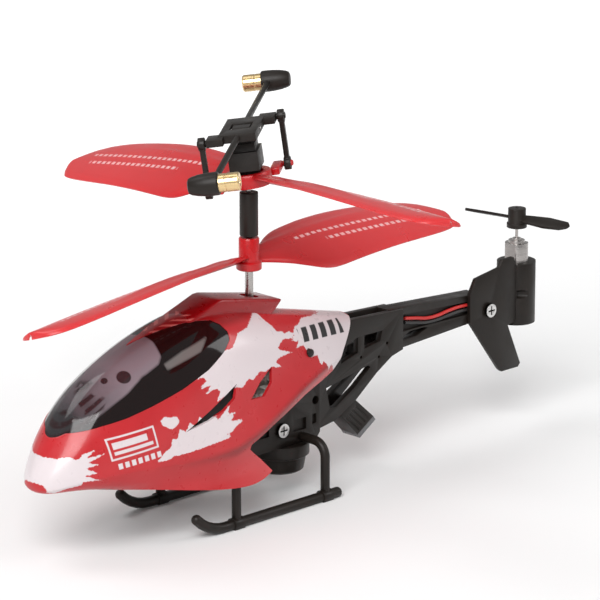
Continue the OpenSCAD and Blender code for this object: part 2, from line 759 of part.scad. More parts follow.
module flybar_pin() {
    color(steel) head_frame(head_lean) translate([0, 0, flybar_rise]) long_pin(-4.6, 4.6, pin_r);
}

module flybar() {
    color(black) head_frame(head_lean) translate([0, 0, flybar_rise]) difference() {
        union() {
            difference() {
                translate([-9, -4.5, -1]) cube([18, 9, 2]);
                translate([-3.2, -2.6, -2]) cube([6.4, 5.2, 4]);
            }
            for (side = [0, 180]) rotate([0, 0, side]) {
                translate([8.5, 0, 0]) rotate([0, 90, 0]) cylinder(h = flybar_reach - 10.9, r = 0.75);
                // ear that the pushrod hangs on
                translate([6.6, -rod_side + 0.1, -0.9]) cube([rod_reach - 5.8, 4, 1.8]);
                rod_pin();
            }
        }
        long_pin(-6, 6, pin_r + running_gap);
        for (side = [-1, 1]) translate([side * flybar_reach, 0, 0]) long_pin(-7, 7, cap_r);
    }
}

// The two ends of the flybar are the same, turned half round the mast
module flybar_ends() {
    head_frame(head_lean) for (side = [0, 180]) rotate([0, 0, side])
        translate([flybar_reach, 0, flybar_rise]) children();
}

module flybar_caps() { color(black) flybar_ends() long_pin(-5.6, 1.6, cap_r); }

module brass_weights() { color(brass) flybar_ends() long_pin(1.6, 6.4, 2.15); }

module pushrod() {
    bore = ear_pin_r + running_gap;
    translate([rod_reach, -rod_side - 0.2, 0]) rotate([90, 0, 0]) difference() {
        union() {
            for (z = [0, flybar_rise]) translate([0, z, 0]) cylinder(h = rod_t, r = rod_eye_r);
            translate([-0.9, 0, 0.2]) cube([1.8, flybar_rise, rod_t - 0.4]);
        }
        translate([0, flybar_rise, -1]) cylinder(h = 6, r = bore);
        translate([0, 0, -1]) cylinder(h = 6, r = bore + 0.1);
    }
}

module left_pushrod() { color(black) head_frame(head_lean) pushrod(); }

module right_pushrod() { color(black) head_frame(head_lean) rotate([0, 0, 180]) pushrod(); }

canopy();
windshield();
cockpit_tub();
frame_left();
frame_right();
lower_bearing_block();
upper_bearing_block();
lower_bearing();
upper_bearing();
front_motor();
rear_motor();
motor_cup();
battery_tray();
battery();
circuit_board();
board_parts();
status_lamp();
receiver_pod();
receiver_lens();
charge_socket();
switch_body();
switch_slider();
tail_fin();
tail_motor_holder();
tail_motor();
tail_wire_red();
tail_wire_black();
front_strut_left();
front_strut_right();
rear_strut_left();
rear_strut_right();
left_skid();
right_skid();
frame_screws();
fin_screw();
canopy_pegs();
outer_tube();
lower_rotor();
upper_main_gear();
inner_shaft();
lower_main_gear();
shaft_sleeve();
shaft_block();
teeter_pin();
rotor_head();
head_pins();
flybar_pin();
flybar();
flybar_caps();
brass_weights();
upper_rotor();
left_pushrod();
right_pushrod();
front_pinion();
rear_pinion();
front_motor_shaft();
rear_motor_shaft();
tail_prop();
tail_motor_shaft();
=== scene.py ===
# %% [markdown]
# # A palm-sized coaxial helicopter
# The CAD model is loaded first as a fixed frame: every node is already at its real size and place,
# in metres, and rides on the body that moves it. Everything below either gives a node a better
# skin or models a piece that CAD can only rough out, such as the canopy and the rotor blades.

# %% Load the frame
import json
import math
import bpy
from mathutils import Matrix, Vector

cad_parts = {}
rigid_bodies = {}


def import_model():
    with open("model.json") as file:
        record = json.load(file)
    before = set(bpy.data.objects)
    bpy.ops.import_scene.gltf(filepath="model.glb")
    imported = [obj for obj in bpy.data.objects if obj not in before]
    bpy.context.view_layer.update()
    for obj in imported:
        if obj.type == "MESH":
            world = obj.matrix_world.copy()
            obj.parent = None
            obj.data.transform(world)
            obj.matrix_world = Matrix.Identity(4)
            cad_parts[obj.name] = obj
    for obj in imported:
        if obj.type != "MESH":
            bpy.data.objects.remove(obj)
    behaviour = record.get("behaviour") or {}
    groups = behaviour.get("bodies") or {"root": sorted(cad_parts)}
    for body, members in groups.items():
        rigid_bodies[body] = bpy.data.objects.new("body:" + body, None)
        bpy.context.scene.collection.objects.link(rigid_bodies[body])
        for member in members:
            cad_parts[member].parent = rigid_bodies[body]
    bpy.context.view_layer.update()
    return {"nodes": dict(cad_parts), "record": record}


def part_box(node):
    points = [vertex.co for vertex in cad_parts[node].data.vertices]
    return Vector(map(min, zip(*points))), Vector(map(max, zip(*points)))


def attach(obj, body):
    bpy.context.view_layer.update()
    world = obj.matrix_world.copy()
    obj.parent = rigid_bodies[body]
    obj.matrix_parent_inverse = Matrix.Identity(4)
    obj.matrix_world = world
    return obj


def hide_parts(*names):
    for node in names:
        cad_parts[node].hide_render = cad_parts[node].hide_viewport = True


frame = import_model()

print("CAD nodes", len(frame["nodes"]))

# %% [markdown]
# ## One origin for the eye
# A helicopter is easiest to think about from its mast, so places are given in millimetres from the
# mast's foot: x to the machine's left, y towards the tail, z up. `spot` turns them into metres.

# %% The mast and the units
MM = 0.001
shaft_low, shaft_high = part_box("inner_shaft")
MAST = Vector(((shaft_low.x + shaft_high.x) / 2, (shaft_low.y + shaft_high.y) / 2, 0))


def spot(x, y, z):
    """A place in millimetres from the foot of the mast, as a point of the frame in metres."""
    return MAST + Vector((x, y, z)) * MM


print("mast at", tuple(round(c, 5) for c in MAST))

# %% [markdown]
# ## The camera
# A long lens from a metre away keeps the toy's proportions calm. It stands ahead of the nose on the
# machine's left and looks a little down, and it aims at the middle of the machine.

# %% Camera
VIEW_TURN = math.radians(46.17)
VIEW_TILT = math.radians(15.81)
back = Vector((math.sin(VIEW_TURN) * math.cos(VIEW_TILT),
               -math.cos(VIEW_TURN) * math.cos(VIEW_TILT), math.sin(VIEW_TILT)))
aim = spot(0, 17.2, 47.2)
bpy.ops.object.camera_add(location=spot(0, 0, 50.2) + back)
camera = bpy.context.object
camera.name = "studio_camera"
camera.rotation_euler = (aim - camera.location).to_track_quat("-Z", "Y").to_euler()
camera.data.lens = 249
camera.data.clip_start = 0.05
bpy.context.scene.camera = camera
print("camera lens", camera.data.lens, "mm")

# %% [markdown]
# ## Small helpers for working as by hand
# An operator acts on whatever is selected, so each step starts by clearing the selection.

# %% Selecting and applying
def clear_selection():
    for piece in bpy.context.view_layer.objects:
        piece.select_set(False)


def pick(piece):
    clear_selection()
    piece.select_set(True)
    bpy.context.view_layer.objects.active = piece


def apply_modifiers(piece):
    pick(piece)
    for modifier in list(piece.modifiers):
        bpy.ops.object.modifier_apply(modifier=modifier.name)


def smooth(piece, degrees=35):
    pick(piece)
    bpy.ops.object.shade_smooth_by_angle(angle=math.radians(degrees))


def mesh_piece(name, points, edges=(), faces=()):
    """A new object made from points already in the frame's metres."""
    mesh = bpy.data.meshes.new(name)
    mesh.from_pydata([tuple(p) for p in points], list(edges), list(faces))
    piece = bpy.data.objects.new(name, mesh)
    bpy.context.collection.objects.link(piece)
    return piece


def face_outwards(piece, merge=False):
    """Merges doubled points if asked, and turns every face outwards."""
    pick(piece)
    bpy.ops.object.mode_set(mode="EDIT")
    bpy.ops.mesh.select_all(action="SELECT")
    if merge:
        bpy.ops.mesh.remove_doubles(threshold=0.01 * MM)
    bpy.ops.mesh.normals_make_consistent(inside=False)
    bpy.ops.object.mode_set(mode="OBJECT")


def joined(*pieces):
    """The pieces joined into the first one."""
    clear_selection()
    for piece in pieces:
        piece.select_set(True)
    bpy.context.view_layer.objects.active = pieces[0]
    bpy.ops.object.join()
    return pieces[0]


def sheet_pushed(piece, way):
    """A flat sheet extruded into a solid along way, in millimetres."""
    pick(piece)
    bpy.ops.object.mode_set(mode="EDIT")
    bpy.ops.mesh.select_all(action="SELECT")
    bpy.ops.mesh.extrude_region_move(TRANSFORM_OT_translate={"value": [step * MM for step in way]})
    bpy.ops.object.mode_set(mode="OBJECT")
    face_outwards(piece)


def prism(name, outline, x0, x1):
    """A side outline (y, z) drawn as one face and extruded across the body from x0 to x1."""
    points = [spot(x0, y, z) for y, z in outline]
    piece = mesh_piece(name, points, faces=[list(range(len(points)))])
    sheet_pushed(piece, (x1 - x0, 0, 0))
    return piece


def turned(name, profile, steps=48):
    """A half profile of (radius, height) spun round the mast's axis, as on a lathe."""
    points = [spot(r, 0, z) for r, z in profile]
    piece = mesh_piece(name, points, edges=[(i, i + 1) for i in range(len(points) - 1)])
    pick(piece)
    bpy.ops.object.mode_set(mode="EDIT")
    bpy.ops.mesh.select_all(action="SELECT")
    bpy.ops.mesh.spin(steps=steps, angle=2 * math.pi, center=spot(0, 0, 0), axis=(0, 0, 1))
    bpy.ops.object.mode_set(mode="OBJECT")
    face_outwards(piece, merge=True)
    return piece


def cut(piece, cutter, operation="DIFFERENCE"):
    """A boolean with the cutter, applied at once."""
    modifier = piece.modifiers.new("cut", "BOOLEAN")
    modifier.object = cutter
    modifier.operation = operation
    modifier.solver = "EXACT"
    apply_modifiers(piece)


def throw_away(*pieces):
    for piece in pieces:
        bpy.data.objects.remove(piece, do_unlink=True)


print("helpers ready")

# %% [markdown]
# ## Wiring a material
# Each finish is a small node tree. `Finish` keeps the wiring short: every call adds one node and
# returns its output, and numbers or earlier outputs go in as values.

# %% A helper for node trees
class Finish:
    def __init__(self, name):
        self.material = bpy.data.materials.new(name)
        self.material.use_nodes = True
        self.nodes = self.material.node_tree.nodes
        self.links = self.material.node_tree.links
        self.shader = self.nodes["Principled BSDF"]

    def put(self, socket, value):
        if isinstance(value, bpy.types.NodeSocket):
            self.links.new(value, socket)
        elif isinstance(value, (tuple, list)) and len(value) == 3 and socket.type == "RGBA":
            socket.default_value = (*value, 1)
        else:
            socket.default_value = value

    def set(self, **values):
        """Values for the shader's own sockets, with underscores for spaces."""
        for name, value in values.items():
            self.put(self.shader.inputs[name.replace("_", " ")], value)

    def place(self):
        """Place on the object in millimetres from the mast's foot."""
        source = self.nodes.new("ShaderNodeTexCoord").outputs["Object"]
        moved = self.vector("SUBTRACT", source, tuple(MAST))
        return self.vector("SCALE", moved, scale=1 / MM)

    def math(self, operation, a, b=0.0, c=0.0):
        node = self.nodes.new("ShaderNodeMath")
        node.operation = operation
        for socket, value in zip(node.inputs, (a, b, c)):
            self.put(socket, value)
        return node.outputs[0]

    def vector(self, operation, a, b=(0, 0, 0), scale=1.0):
        node = self.nodes.new("ShaderNodeVectorMath")
        node.operation = operation
        self.put(node.inputs[0], a)
        if operation == "SCALE":
            self.put(node.inputs["Scale"], scale)
        elif operation != "LENGTH":
            self.put(node.inputs[1], b)
        return node.outputs["Value" if operation == "LENGTH" else "Vector"]

    def parts(self, vector):
        node = self.nodes.new("ShaderNodeSeparateXYZ")
        self.put(node.inputs[0], vector)
        return node.outputs

    def combine(self, x, y, z):
        node = self.nodes.new("ShaderNodeCombineXYZ")
        for socket, value in zip(node.inputs, (x, y, z)):
            self.put(socket, value)
        return node.outputs[0]

    def noise(self, vector, scale, detail=3.0, roughness=0.5):
        node = self.nodes.new("ShaderNodeTexNoise")
        self.put(node.inputs["Vector"], vector)
        node.inputs["Scale"].default_value = scale
        node.inputs["Detail"].default_value = detail
        node.inputs["Roughness"].default_value = roughness
        return node.outputs["Fac"]

    def remap(self, value, low, high, to_low=0.0, to_high=1.0):
        node = self.nodes.new("ShaderNodeMapRange")
        for name, entry in (("Value", value), ("From Min", low), ("From Max", high),
                            ("To Min", to_low), ("To Max", to_high)):
            self.put(node.inputs[name], entry)
        return node.outputs[0]

    def mix(self, factor, a, b):
        node = self.nodes.new("ShaderNodeMix")
        node.data_type = "RGBA"
        self.put(node.inputs["Factor"], factor)
        colours = [s for s in node.inputs if s.type == "RGBA"]
        self.put(colours[0], a)
        self.put(colours[1], b)
        return next(s for s in node.outputs if s.type == "RGBA")

    def bump(self, height, strength, distance):
        node = self.nodes.new("ShaderNodeBump")
        self.put(node.inputs["Height"], height)
        node.inputs["Strength"].default_value = strength
        node.inputs["Distance"].default_value = distance
        self.put(self.shader.inputs["Normal"], node.outputs[0])


print("finish helper ready")

# %% [markdown]
# ## Finishes
# The frame, skids and head are black moulded plastic: never quite black, a little brown where it
# catches light, with the fine grain of the mould and patches that are slightly more polished.

# %% Black moulded plastic
def black_plastic():
    f = Finish("satin_black_moulding")
    where = f.place()
    patches = f.noise(where, 0.22, 4)
    grain = f.noise(where, 5.5, 2, 0.6)
    f.set(Base_Color=f.mix(patches, (0.006, 0.0045, 0.0036), (0.018, 0.013, 0.010)),
          Roughness=f.remap(patches, 0.3, 0.7, 0.34, 0.5),
          IOR=1.5, Specular_IOR_Level=0.28)
    f.bump(grain, 0.22, 0.00004)
    return f.material


black = black_plastic()
print("made", black.name)

# %% [markdown]
# Drawn steel and turned brass are plain metals. Fine scratches run round the pins and cans, so the
# grain is stretched noise, and the roughness wanders with it.

# %% Metals
def metal(name, colour, dull, rough, head_face=None):
    """A worn metal. A screw gives the x of its head's face, and its cross slot is darkened with painted
    shade and oil.
    """
    f = Finish(name)
    where = f.place()
    lines = f.noise(f.vector("MULTIPLY", where, (0.4, 0.4, 3)), 0.6, 2, 0.5)
    tone = f.mix(lines, dull, colour)
    if head_face:
        # painted shade and oil darken the cross slot below the head's face
        slot_shade_and_oil = f.remap(f.math("ABSOLUTE", f.parts(where)[0]), head_face - 0.12, head_face - 0.22)
        tone = f.mix(slot_shade_and_oil, tone, (0.02, 0.018, 0.016))
    f.set(Metallic=1.0, Base_Color=tone,
          Roughness=f.remap(lines, 0.25, 0.75, rough - 0.07, rough + 0.1))
    f.bump(lines, 0.05, 0.00003)
    return f.material


steel = metal("drawn_steel", (0.56, 0.53, 0.51), (0.36, 0.34, 0.33), 0.28)
brass = metal("turned_brass", (0.86, 0.66, 0.36), (0.66, 0.46, 0.22), 0.24)
frame_screw_steel = metal("zinc_frame_screw", (0.78, 0.77, 0.76), (0.6, 0.59, 0.58), 0.36, head_face=6.1)
fin_screw_steel = metal("zinc_fin_screw", (0.78, 0.77, 0.76), (0.6, 0.59, 0.58), 0.36, head_face=4.4)
print("made", steel.name, brass.name, frame_screw_steel.name, fin_screw_steel.name)

# %% [markdown]
# The hidden works are dressed as well: milky nylon gears, a green board, a foil pouch cell.

# %% Works under the canopy
def plain_with_grain(name, one, other, roughness, scale=0.6, depth=0.00003, **values):
    f = Finish(name)
    where = f.place()
    cloud = f.noise(where, scale, 4)
    f.set(Base_Color=f.mix(cloud, one, other), Roughness=f.remap(cloud, 0.3, 0.7, roughness - 0.06,
          roughness + 0.06), **values)
    f.bump(f.noise(where, scale * 9, 2), 0.15, depth)
    return f.material


nylon = plain_with_grain("milky_nylon", (0.78, 0.77, 0.72), (0.86, 0.85, 0.8), 0.4)
foil = plain_with_grain("foil_pouch", (0.42, 0.45, 0.5), (0.56, 0.59, 0.63), 0.3, 0.9, Metallic=0.6)
board_green = plain_with_grain("lacquered_board", (0.01, 0.1, 0.03), (0.02, 0.16, 0.05), 0.3)
chip_black = plain_with_grain("chip_black", (0.012, 0.012, 0.013), (0.03, 0.03, 0.032), 0.45)
lamp_red = plain_with_grain("lamp_red", (0.6, 0.02, 0.015), (0.75, 0.05, 0.03), 0.15)
lens_grey = plain_with_grain("lens_grey", (0.10, 0.10, 0.105), (0.16, 0.16, 0.165), 0.3)
red_sleeving = plain_with_grain("red_sleeving", (0.45, 0.012, 0.012), (0.6, 0.03, 0.025), 0.4)
black_sleeving = plain_with_grain("black_sleeving", (0.012, 0.012, 0.012), (0.03, 0.03, 0.03), 0.45)
print("materials so far:", len(bpy.data.materials))

# %% [markdown]
# ## Rounded edges for the moulded and turned parts
# CAD edges are perfectly sharp, and nothing moulded is. `soften` takes a merged copy of a CAD node,
# melts its flat faces together and bevels what is still a hard edge, so every rim catches a thin
# line of light. The copy rides on the node's own body and stands for it.

# %% Softened copies
BODY = {node: body for body, nodes in frame["record"]["behaviour"]["bodies"].items() for node in nodes}


def dress(piece, material):
    piece.data.materials.clear()
    piece.data.materials.append(material)


def stand_for(piece, node, material):
    """The piece rides on the node's body, wears the given material and is shown instead of it."""
    dress(piece, material)
    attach(piece, BODY[node])
    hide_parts(node)


def soften(node, material, width):
    """A copy of a CAD node with every edge sharper than 32 degrees rounded, in its place."""
    mesh = frame["nodes"][node].data.copy()
    piece = bpy.data.objects.new(node + "_moulded", mesh)
    bpy.context.collection.objects.link(piece)
    pick(piece)
    bpy.ops.object.mode_set(mode="EDIT")
    bpy.ops.mesh.select_all(action="SELECT")
    bpy.ops.mesh.remove_doubles(threshold=0.002 * MM)
    bpy.ops.mesh.dissolve_limited(angle_limit=math.radians(1.0))
    bpy.ops.object.mode_set(mode="OBJECT")
    bevel = piece.modifiers.new("round", "BEVEL")
    bevel.width = width * MM
    bevel.segments = 2
    bevel.limit_method = "ANGLE"
    bevel.angle_limit = math.radians(32)
    bevel.miter_outer = "MITER_ARC"
    apply_modifiers(piece)
    smooth(piece, 40)
    stand_for(piece, node, material)


print("nodes:", len(BODY), "bodies:", len(set(BODY.values())))

# %% [markdown]
# The black parts first: the two frame halves with their pockets and boom, the fin and the motor
# holder at the tail, the landing gear, and everything on the rotor head but the steel and brass.

# %% Black parts
for node in ("frame_left", "frame_right", "tail_fin", "tail_motor_holder", "motor_cup", "receiver_pod",
             "front_strut_left", "front_strut_right", "rear_strut_left", "rear_strut_right",
             "left_skid", "right_skid", "canopy_pegs", "shaft_sleeve", "rotor_head", "flybar",
             "left_pushrod", "right_pushrod", "switch_body", "charge_socket"):
    soften(node, black, 0.25 if node in ("rotor_head", "tail_motor_holder") else 0.14)
    print("rounded", node)

# %% Metal parts with visible edges
soften("tail_motor", steel, 0.35)
soften("frame_screws", frame_screw_steel, 0.05)
soften("fin_screw", fin_screw_steel, 0.05)
soften("receiver_lens", lens_grey, 0.15)
print("rounded the tail motor, the screws and the lens")

# %% [markdown]
# The pieces whose CAD shape already says it all keep their nodes and only get a finish.

# %% Finishes for the CAD nodes that stay
STAY = {steel: ("front_motor", "rear_motor", "outer_tube", "inner_shaft", "shaft_block", "teeter_pin",
                "head_pins", "flybar_pin", "front_motor_shaft", "rear_motor_shaft", "tail_motor_shaft"),
        brass: ("lower_bearing", "upper_bearing", "front_pinion", "rear_pinion"),
        nylon: ("upper_main_gear", "lower_main_gear"),
        black: ("lower_bearing_block", "upper_bearing_block", "battery_tray", "switch_slider"),
        foil: ("battery",), board_green: ("circuit_board",), chip_black: ("board_parts",),
        lamp_red: ("status_lamp",)}
for material, nodes in STAY.items():
    for node in nodes:
        dress(frame["nodes"][node], material)
    print(material.name, "on", len(nodes), "nodes")

# %% [markdown]
# ## The canopy
# The real canopy is one thin pressing: a sharp nose, a narrow red ridge that widens into the deck
# round the mast, a long sill under each window, a crease that sweeps down each flank into a flared
# lip, and a tail that wraps the start of the boom. It is built as ribs across the body, each with
# the same eight places from ridge to hem, mirrored and skinned, then smoothed by subdivision. The
# crease and the ridge are kept crisp with edge creases.

# %% Ribs of the canopy: y, then (x, z) from the ridge to the hem
RIBS = [
    (-70.0, [(0, 21.2), (0.8, 21.0), (1.6, 20.6), (2.2, 20.0), (2.5, 19.5), (2.3, 19.0), (1.6, 18.5),
             (0, 18.2)]),
    (-67.8, [(0, 25.8), (1.6, 25.2), (3.6, 24.0), (5.0, 22.4), (5.8, 20.8), (5.6, 19.2), (4.2, 17.8),
             (0, 17.2)]),
    (-62.0, [(0, 34.6), (2.6, 33.9), (6.0, 31.4), (8.0, 28.6), (9.2, 25.0), (9.3, 21.0), (7.4, 18.0),
             (0, 17.3)]),
    (-54.0, [(0, 41.6), (3.0, 40.9), (8.0, 37.9), (10.6, 33.2), (12.0, 28.0), (12.2, 21.6),
             (10.8, 17.8), (8.6, 17.0)]),
    (-44.0, [(0, 46.7), (3.4, 46.0), (9.4, 42.2), (12.6, 35.6), (14.0, 30.0), (14.4, 21.8),
             (12.9, 17.6), (11.6, 15.6)]),
    (-32.0, [(0, 50.4), (4.0, 49.7), (10.4, 46.4), (13.4, 39.0), (14.7, 31.0), (15.7, 20.6),
             (14.3, 16.4), (14.6, 13.2)]),
    (-19.0, [(0, 52.6), (5.2, 51.8), (10.6, 49.0), (13.3, 43.4), (14.8, 33.0), (16.5, 20.8),
             (14.7, 15.2), (16.2, 10.8)]),
    (-8.0, [(0, 51.2), (5.0, 50.4), (9.8, 47.6), (12.8, 42.0), (14.0, 33.6), (16.2, 24.8), (14.0, 18.2),
            (15.8, 10.5)]),
    (4.0, [(0, 48.0), (4.6, 47.2), (8.6, 44.8), (11.2, 40.4), (12.3, 35.8), (14.1, 29.8), (12.3, 24.6),
           (12.2, 20.0)]),
    (18.0, [(0, 44.8), (3.8, 44.0), (6.8, 41.6), (8.6, 38.2), (9.5, 36.4), (10.9, 33.8), (9.6, 29.5),
            (9.2, 26.0)]),
    (31.6, [(0, 41.6), (3.0, 41.0), (4.8, 39.8), (5.8, 38.0), (6.6, 36.0), (6.8, 34.2), (6.6, 31.0),
            (6.2, 29.0)])]
CREASES = {1: 0.45, 3: 0.25, 5: 0.9}


def canopy_skin(name):
    """The outer skin as one open sheet, mirrored ribs joined by quads and smoothed."""
    points, faces, creased = [], [], {}
    width = 2 * len(RIBS[0][1]) - 1
    for y, half in RIBS:
        points += [spot(-x, y, z) for x, z in reversed(half)] + [spot(x, y, z) for x, z in half[1:]]
    for i in range(len(RIBS) - 1):
        for k in range(width - 1):
            a = i * width + k
            faces.append((a, a + 1, a + width + 1, a + width))
    faces.append(tuple(range(width - 1)))
    for i in range(len(RIBS) - 1):
        for place, strength in CREASES.items():
            for k in (width // 2 - place, width // 2 + place):
                creased[(i * width + k, (i + 1) * width + k)] = strength
    piece = mesh_piece(name, points, faces=faces)
    layer = piece.data.attributes.new("crease_edge", "FLOAT", "EDGE")
    for edge in piece.data.edges:
        layer.data[edge.index].value = creased.get(tuple(sorted(edge.vertices)), 0.0)
    face_outwards(piece, merge=True)
    rounder = piece.modifiers.new("rounder", "SUBSURF")
    rounder.levels = rounder.render_levels = 4
    apply_modifiers(piece)
    return piece


def thicken(piece, wall):
    shell = piece.modifiers.new("wall", "SOLIDIFY")
    shell.thickness = wall * MM
    shell.offset = -1
    apply_modifiers(piece)


print("ribs", len(RIBS), "with", len(RIBS[0][1]), "places each")

# %% [markdown]
# The windows are one smoked moulding that wraps the nose and runs back as a horn on each side of the
# red ridge. The same cutter that opens the canopy shapes the glass, so the two meet all round.

# %% Cutters for the windows, the tail and the vents
SILL = [(-67.6, 27.2), (-66.0, 29.3), (-62.5, 31.6), (-56.0, 33.1), (-50.0, 34.2), (-42.4, 36.0),
        (-34.0, 38.2), (-25.6, 41.2), (-20.0, 44.2), (-17.0, 46.4), (-16.4, 48.0), (-17.2, 49.6),
        (-19.4, 51.0), (-24.0, 56.0), (-72.0, 56.0)]
WEDGE = [(-40.0, 0.05), (-36.0, 0.9), (-30.0, 2.4), (-24.0, 4.2), (-19.0, 6.0), (-10.0, 6.6)]
TAIL_CUT = [(-5.6, 8.0), (-6.6, 12.2), (-10.5, 16.2), (-14.6, 19.6), (-14.4, 20.8), (-6.0, 24.2),
            (6.5, 28.2), (14.0, 29.8), (18.4, 31.0), (20.0, 32.2), (31.2, 41.2), (36.0, 46.0),
            (44.0, 8.0)]
VENTS = [[(-34.8, 28.2), (-26.0, 32.2), (-17.6, 36.4), (-18.8, 33.0), (-22.4, 31.0), (-27.4, 29.4)],
         [(-13.6, 31.6), (-9.8, 35.0), (-5.0, 37.8), (-5.8, 34.0), (-9.0, 31.4)]]
window_cutter = prism("window_cutter", SILL, -20, 20)
wedge_points = [spot(x, y, 40) for y, x in WEDGE] + [spot(-x, y, 40) for y, x in reversed(WEDGE)]
wedge = mesh_piece("wedge", wedge_points, faces=[list(range(len(wedge_points)))])
sheet_pushed(wedge, (0, 0, 20))
cut(window_cutter, wedge)
print("window cutter faces", len(window_cutter.data.polygons))

# %% [markdown]
# Now the pressing itself: skin, wall, then the openings one after another.

# %% Canopy shell
canopy = canopy_skin("canopy_shell")
thicken(canopy, 0.8)
tail_cutter = prism("tail_cutter", TAIL_CUT, -20, 20)
cut(canopy, tail_cutter)
cut(canopy, window_cutter)
vent_cutters = [prism("vent_cutter", outline, -20, 20) for outline in VENTS]
for cutter in vent_cutters:
    cut(canopy, cutter)
bpy.ops.mesh.primitive_cylinder_add(vertices=48, radius=2.3 * MM, depth=20 * MM, location=spot(0, 0, 50))
mast_cutter = bpy.context.object
cut(canopy, mast_cutter)
smooth(canopy, 32)
print("canopy faces", len(canopy.data.polygons))

# %% [markdown]
# The deck is the raised scoop that the mast comes out of. It is a wedge with a flat top and an
# undercut rear face, beveled generously and drilled for the mast.

# %% Deck round the mast
DECK = [(-25.0, 50.6), (-14.6, 54.2), (-13.2, 54.3), (6.9, 50.4), (2.8, 46.8), (-10.0, 46.0)]
deck = prism("mast_deck", DECK, -4.8, 4.8)
edge_round = deck.modifiers.new("round", "BEVEL")
edge_round.width = 0.7 * MM
edge_round.segments = 3
apply_modifiers(deck)
cut(deck, mast_cutter)
smooth(deck, 35)
print("deck faces", len(deck.data.polygons))

# %% Windshield
windshield = canopy_skin("smoked_windshield")
pick(windshield)
bpy.ops.object.mode_set(mode="EDIT")
bpy.ops.mesh.select_all(action="SELECT")
bpy.ops.transform.shrink_fatten(value=-0.12 * MM)
bpy.ops.object.mode_set(mode="OBJECT")
thicken(windshield, 0.6)
cut(windshield, window_cutter, "INTERSECT")
smooth(windshield, 40)
throw_away(window_cutter, wedge, tail_cutter, mast_cutter, *vent_cutters)
print("windshield faces", len(windshield.data.polygons))

# %% [markdown]
# ## Paint
# The flanks are sprayed red and masked with torn white splashes. A torn edge is drawn best as an
# outline, seen from the side. Every point of the canopy learns how far it lies from the nearest
# splash outline, minus inside and plus outside, and keeps it as an attribute. The material then
# only asks for the sign, so the edge stays crisp however coarse the mesh is.

# %% Distance from drawn outlines
def side_distance(y, z, outline):
    """Signed distance in millimetres from a closed outline of (y, z) corners."""
    nearest, inside = 1e9, False
    y0, z0 = outline[-1]
    for y1, z1 in outline:
        dy, dz = y1 - y0, z1 - z0
        t = max(0.0, min(1.0, ((y - y0) * dy + (z - z0) * dz) / (dy * dy + dz * dz)))
        nearest = min(nearest, (y - y0 - t * dy) ** 2 + (z - z0 - t * dz) ** 2)
        if (z0 > z) != (z1 > z) and y < y0 + (z - z0) * dy / dz:
            inside = not inside
        y0, z0 = y1, z1
    return -math.sqrt(nearest) if inside else math.sqrt(nearest)


def note_distance(piece, name, outlines, reach=3.0):
    """Writes the distance to the nearest outline on every point of the piece."""
    boxes = [(min(y for y, z in o) - reach, max(y for y, z in o) + reach,
              min(z for y, z in o) - reach, max(z for y, z in o) + reach) for o in outlines]
    layer = piece.data.attributes.new(name, "FLOAT", "POINT")
    for vertex in piece.data.vertices:
        y, z = (vertex.co.y - MAST.y) / MM, (vertex.co.z - MAST.z) / MM
        value = reach
        for outline, (y0, y1, z0, z1) in zip(outlines, boxes):
            if y0 < y < y1 and z0 < z < z1:
                value = min(value, side_distance(y, z, outline))
        layer.data[vertex.index].value = max(value, -reach)


print("a point 1 mm inside a square gives", side_distance(1, 5, [(0, 0), (10, 0), (10, 10), (0, 10)]))

# %% Outlines of the white splashes
BIG_SPLASH = [(-17.2, 44.6), (-13.8, 47.2), (-9.5, 47.6), (-5.5, 48.8), (-2.2, 49.2), (-1.6, 47.0),
              (-0.4, 45.8), (0.2, 44.5), (2.6, 44.2), (2.4, 43.6), (4.8, 43.6), (6.8, 42.6),
              (4.4, 42.2), (1.2, 42.6), (-0.6, 42.0), (-1.8, 41.2), (-0.4, 40.5), (3.6, 39.2),
              (0.2, 39.3), (-2.4, 39.0), (-3.4, 38.3), (-1.4, 36.8), (-5.2, 37.7), (-7.6, 37.0),
              (-9.4, 37.6), (-12.2, 36.0), (-13.4, 36.8), (-16.2, 34.9), (-17.8, 35.7), (-20.2, 33.2),
              (-23.0, 32.2), (-21.8, 34.4), (-24.8, 33.2), (-23.0, 35.8), (-24.4, 36.7), (-28.2, 35.6),
              (-25.6, 37.7), (-30.2, 37.2), (-26.6, 38.9), (-28.2, 40.0), (-31.6, 39.4), (-28.6, 41.6),
              (-24.0, 43.0), (-20.0, 44.6)]
LOW_SPLASH = [(-43.8, 22.7), (-41.2, 24.7), (-39.4, 25.5), (-38.8, 27.6), (-37.4, 27.0), (-36.4, 29.4),
              (-34.6, 28.2), (-33.4, 30.4), (-31.6, 28.9), (-30.2, 31.2), (-28.2, 29.5), (-26.4, 31.0),
              (-24.6, 29.2), (-20.2, 32.2), (-21.8, 29.4), (-18.6, 30.4), (-21.0, 27.9), (-16.0, 28.0),
              (-19.4, 26.4), (-20.6, 25.5), (-22.4, 25.3), (-20.8, 24.2), (-24.6, 24.0), (-30.6, 23.5),
              (-35.0, 23.2), (-38.4, 23.3), (-40.4, 22.7)]
NOSE_PATCH = [(-71.0, 25.6), (-67.0, 26.4), (-65.9, 26.3), (-64.0, 26.9), (-62.8, 26.1), (-61.4, 27.4),
              (-58.6, 28.2), (-60.8, 26.5), (-56.8, 27.0), (-60.6, 25.3), (-58.2, 24.7), (-61.4, 24.1),
              (-58.8, 22.7), (-61.6, 22.3), (-57.8, 20.8), (-62.0, 21.0), (-62.4, 20.0), (-65.0, 19.6),
              (-67.2, 18.3), (-68.6, 18.7), (-69.3, 20.4), (-71.0, 21.0)]
SMALL_BLOB = [(-41.6, 32.3), (-40.2, 33.1), (-38.8, 32.5), (-37.0, 32.5), (-36.2, 31.2), (-37.4, 30.2),
              (-39.0, 29.6), (-39.9, 30.4), (-41.3, 31.1)]
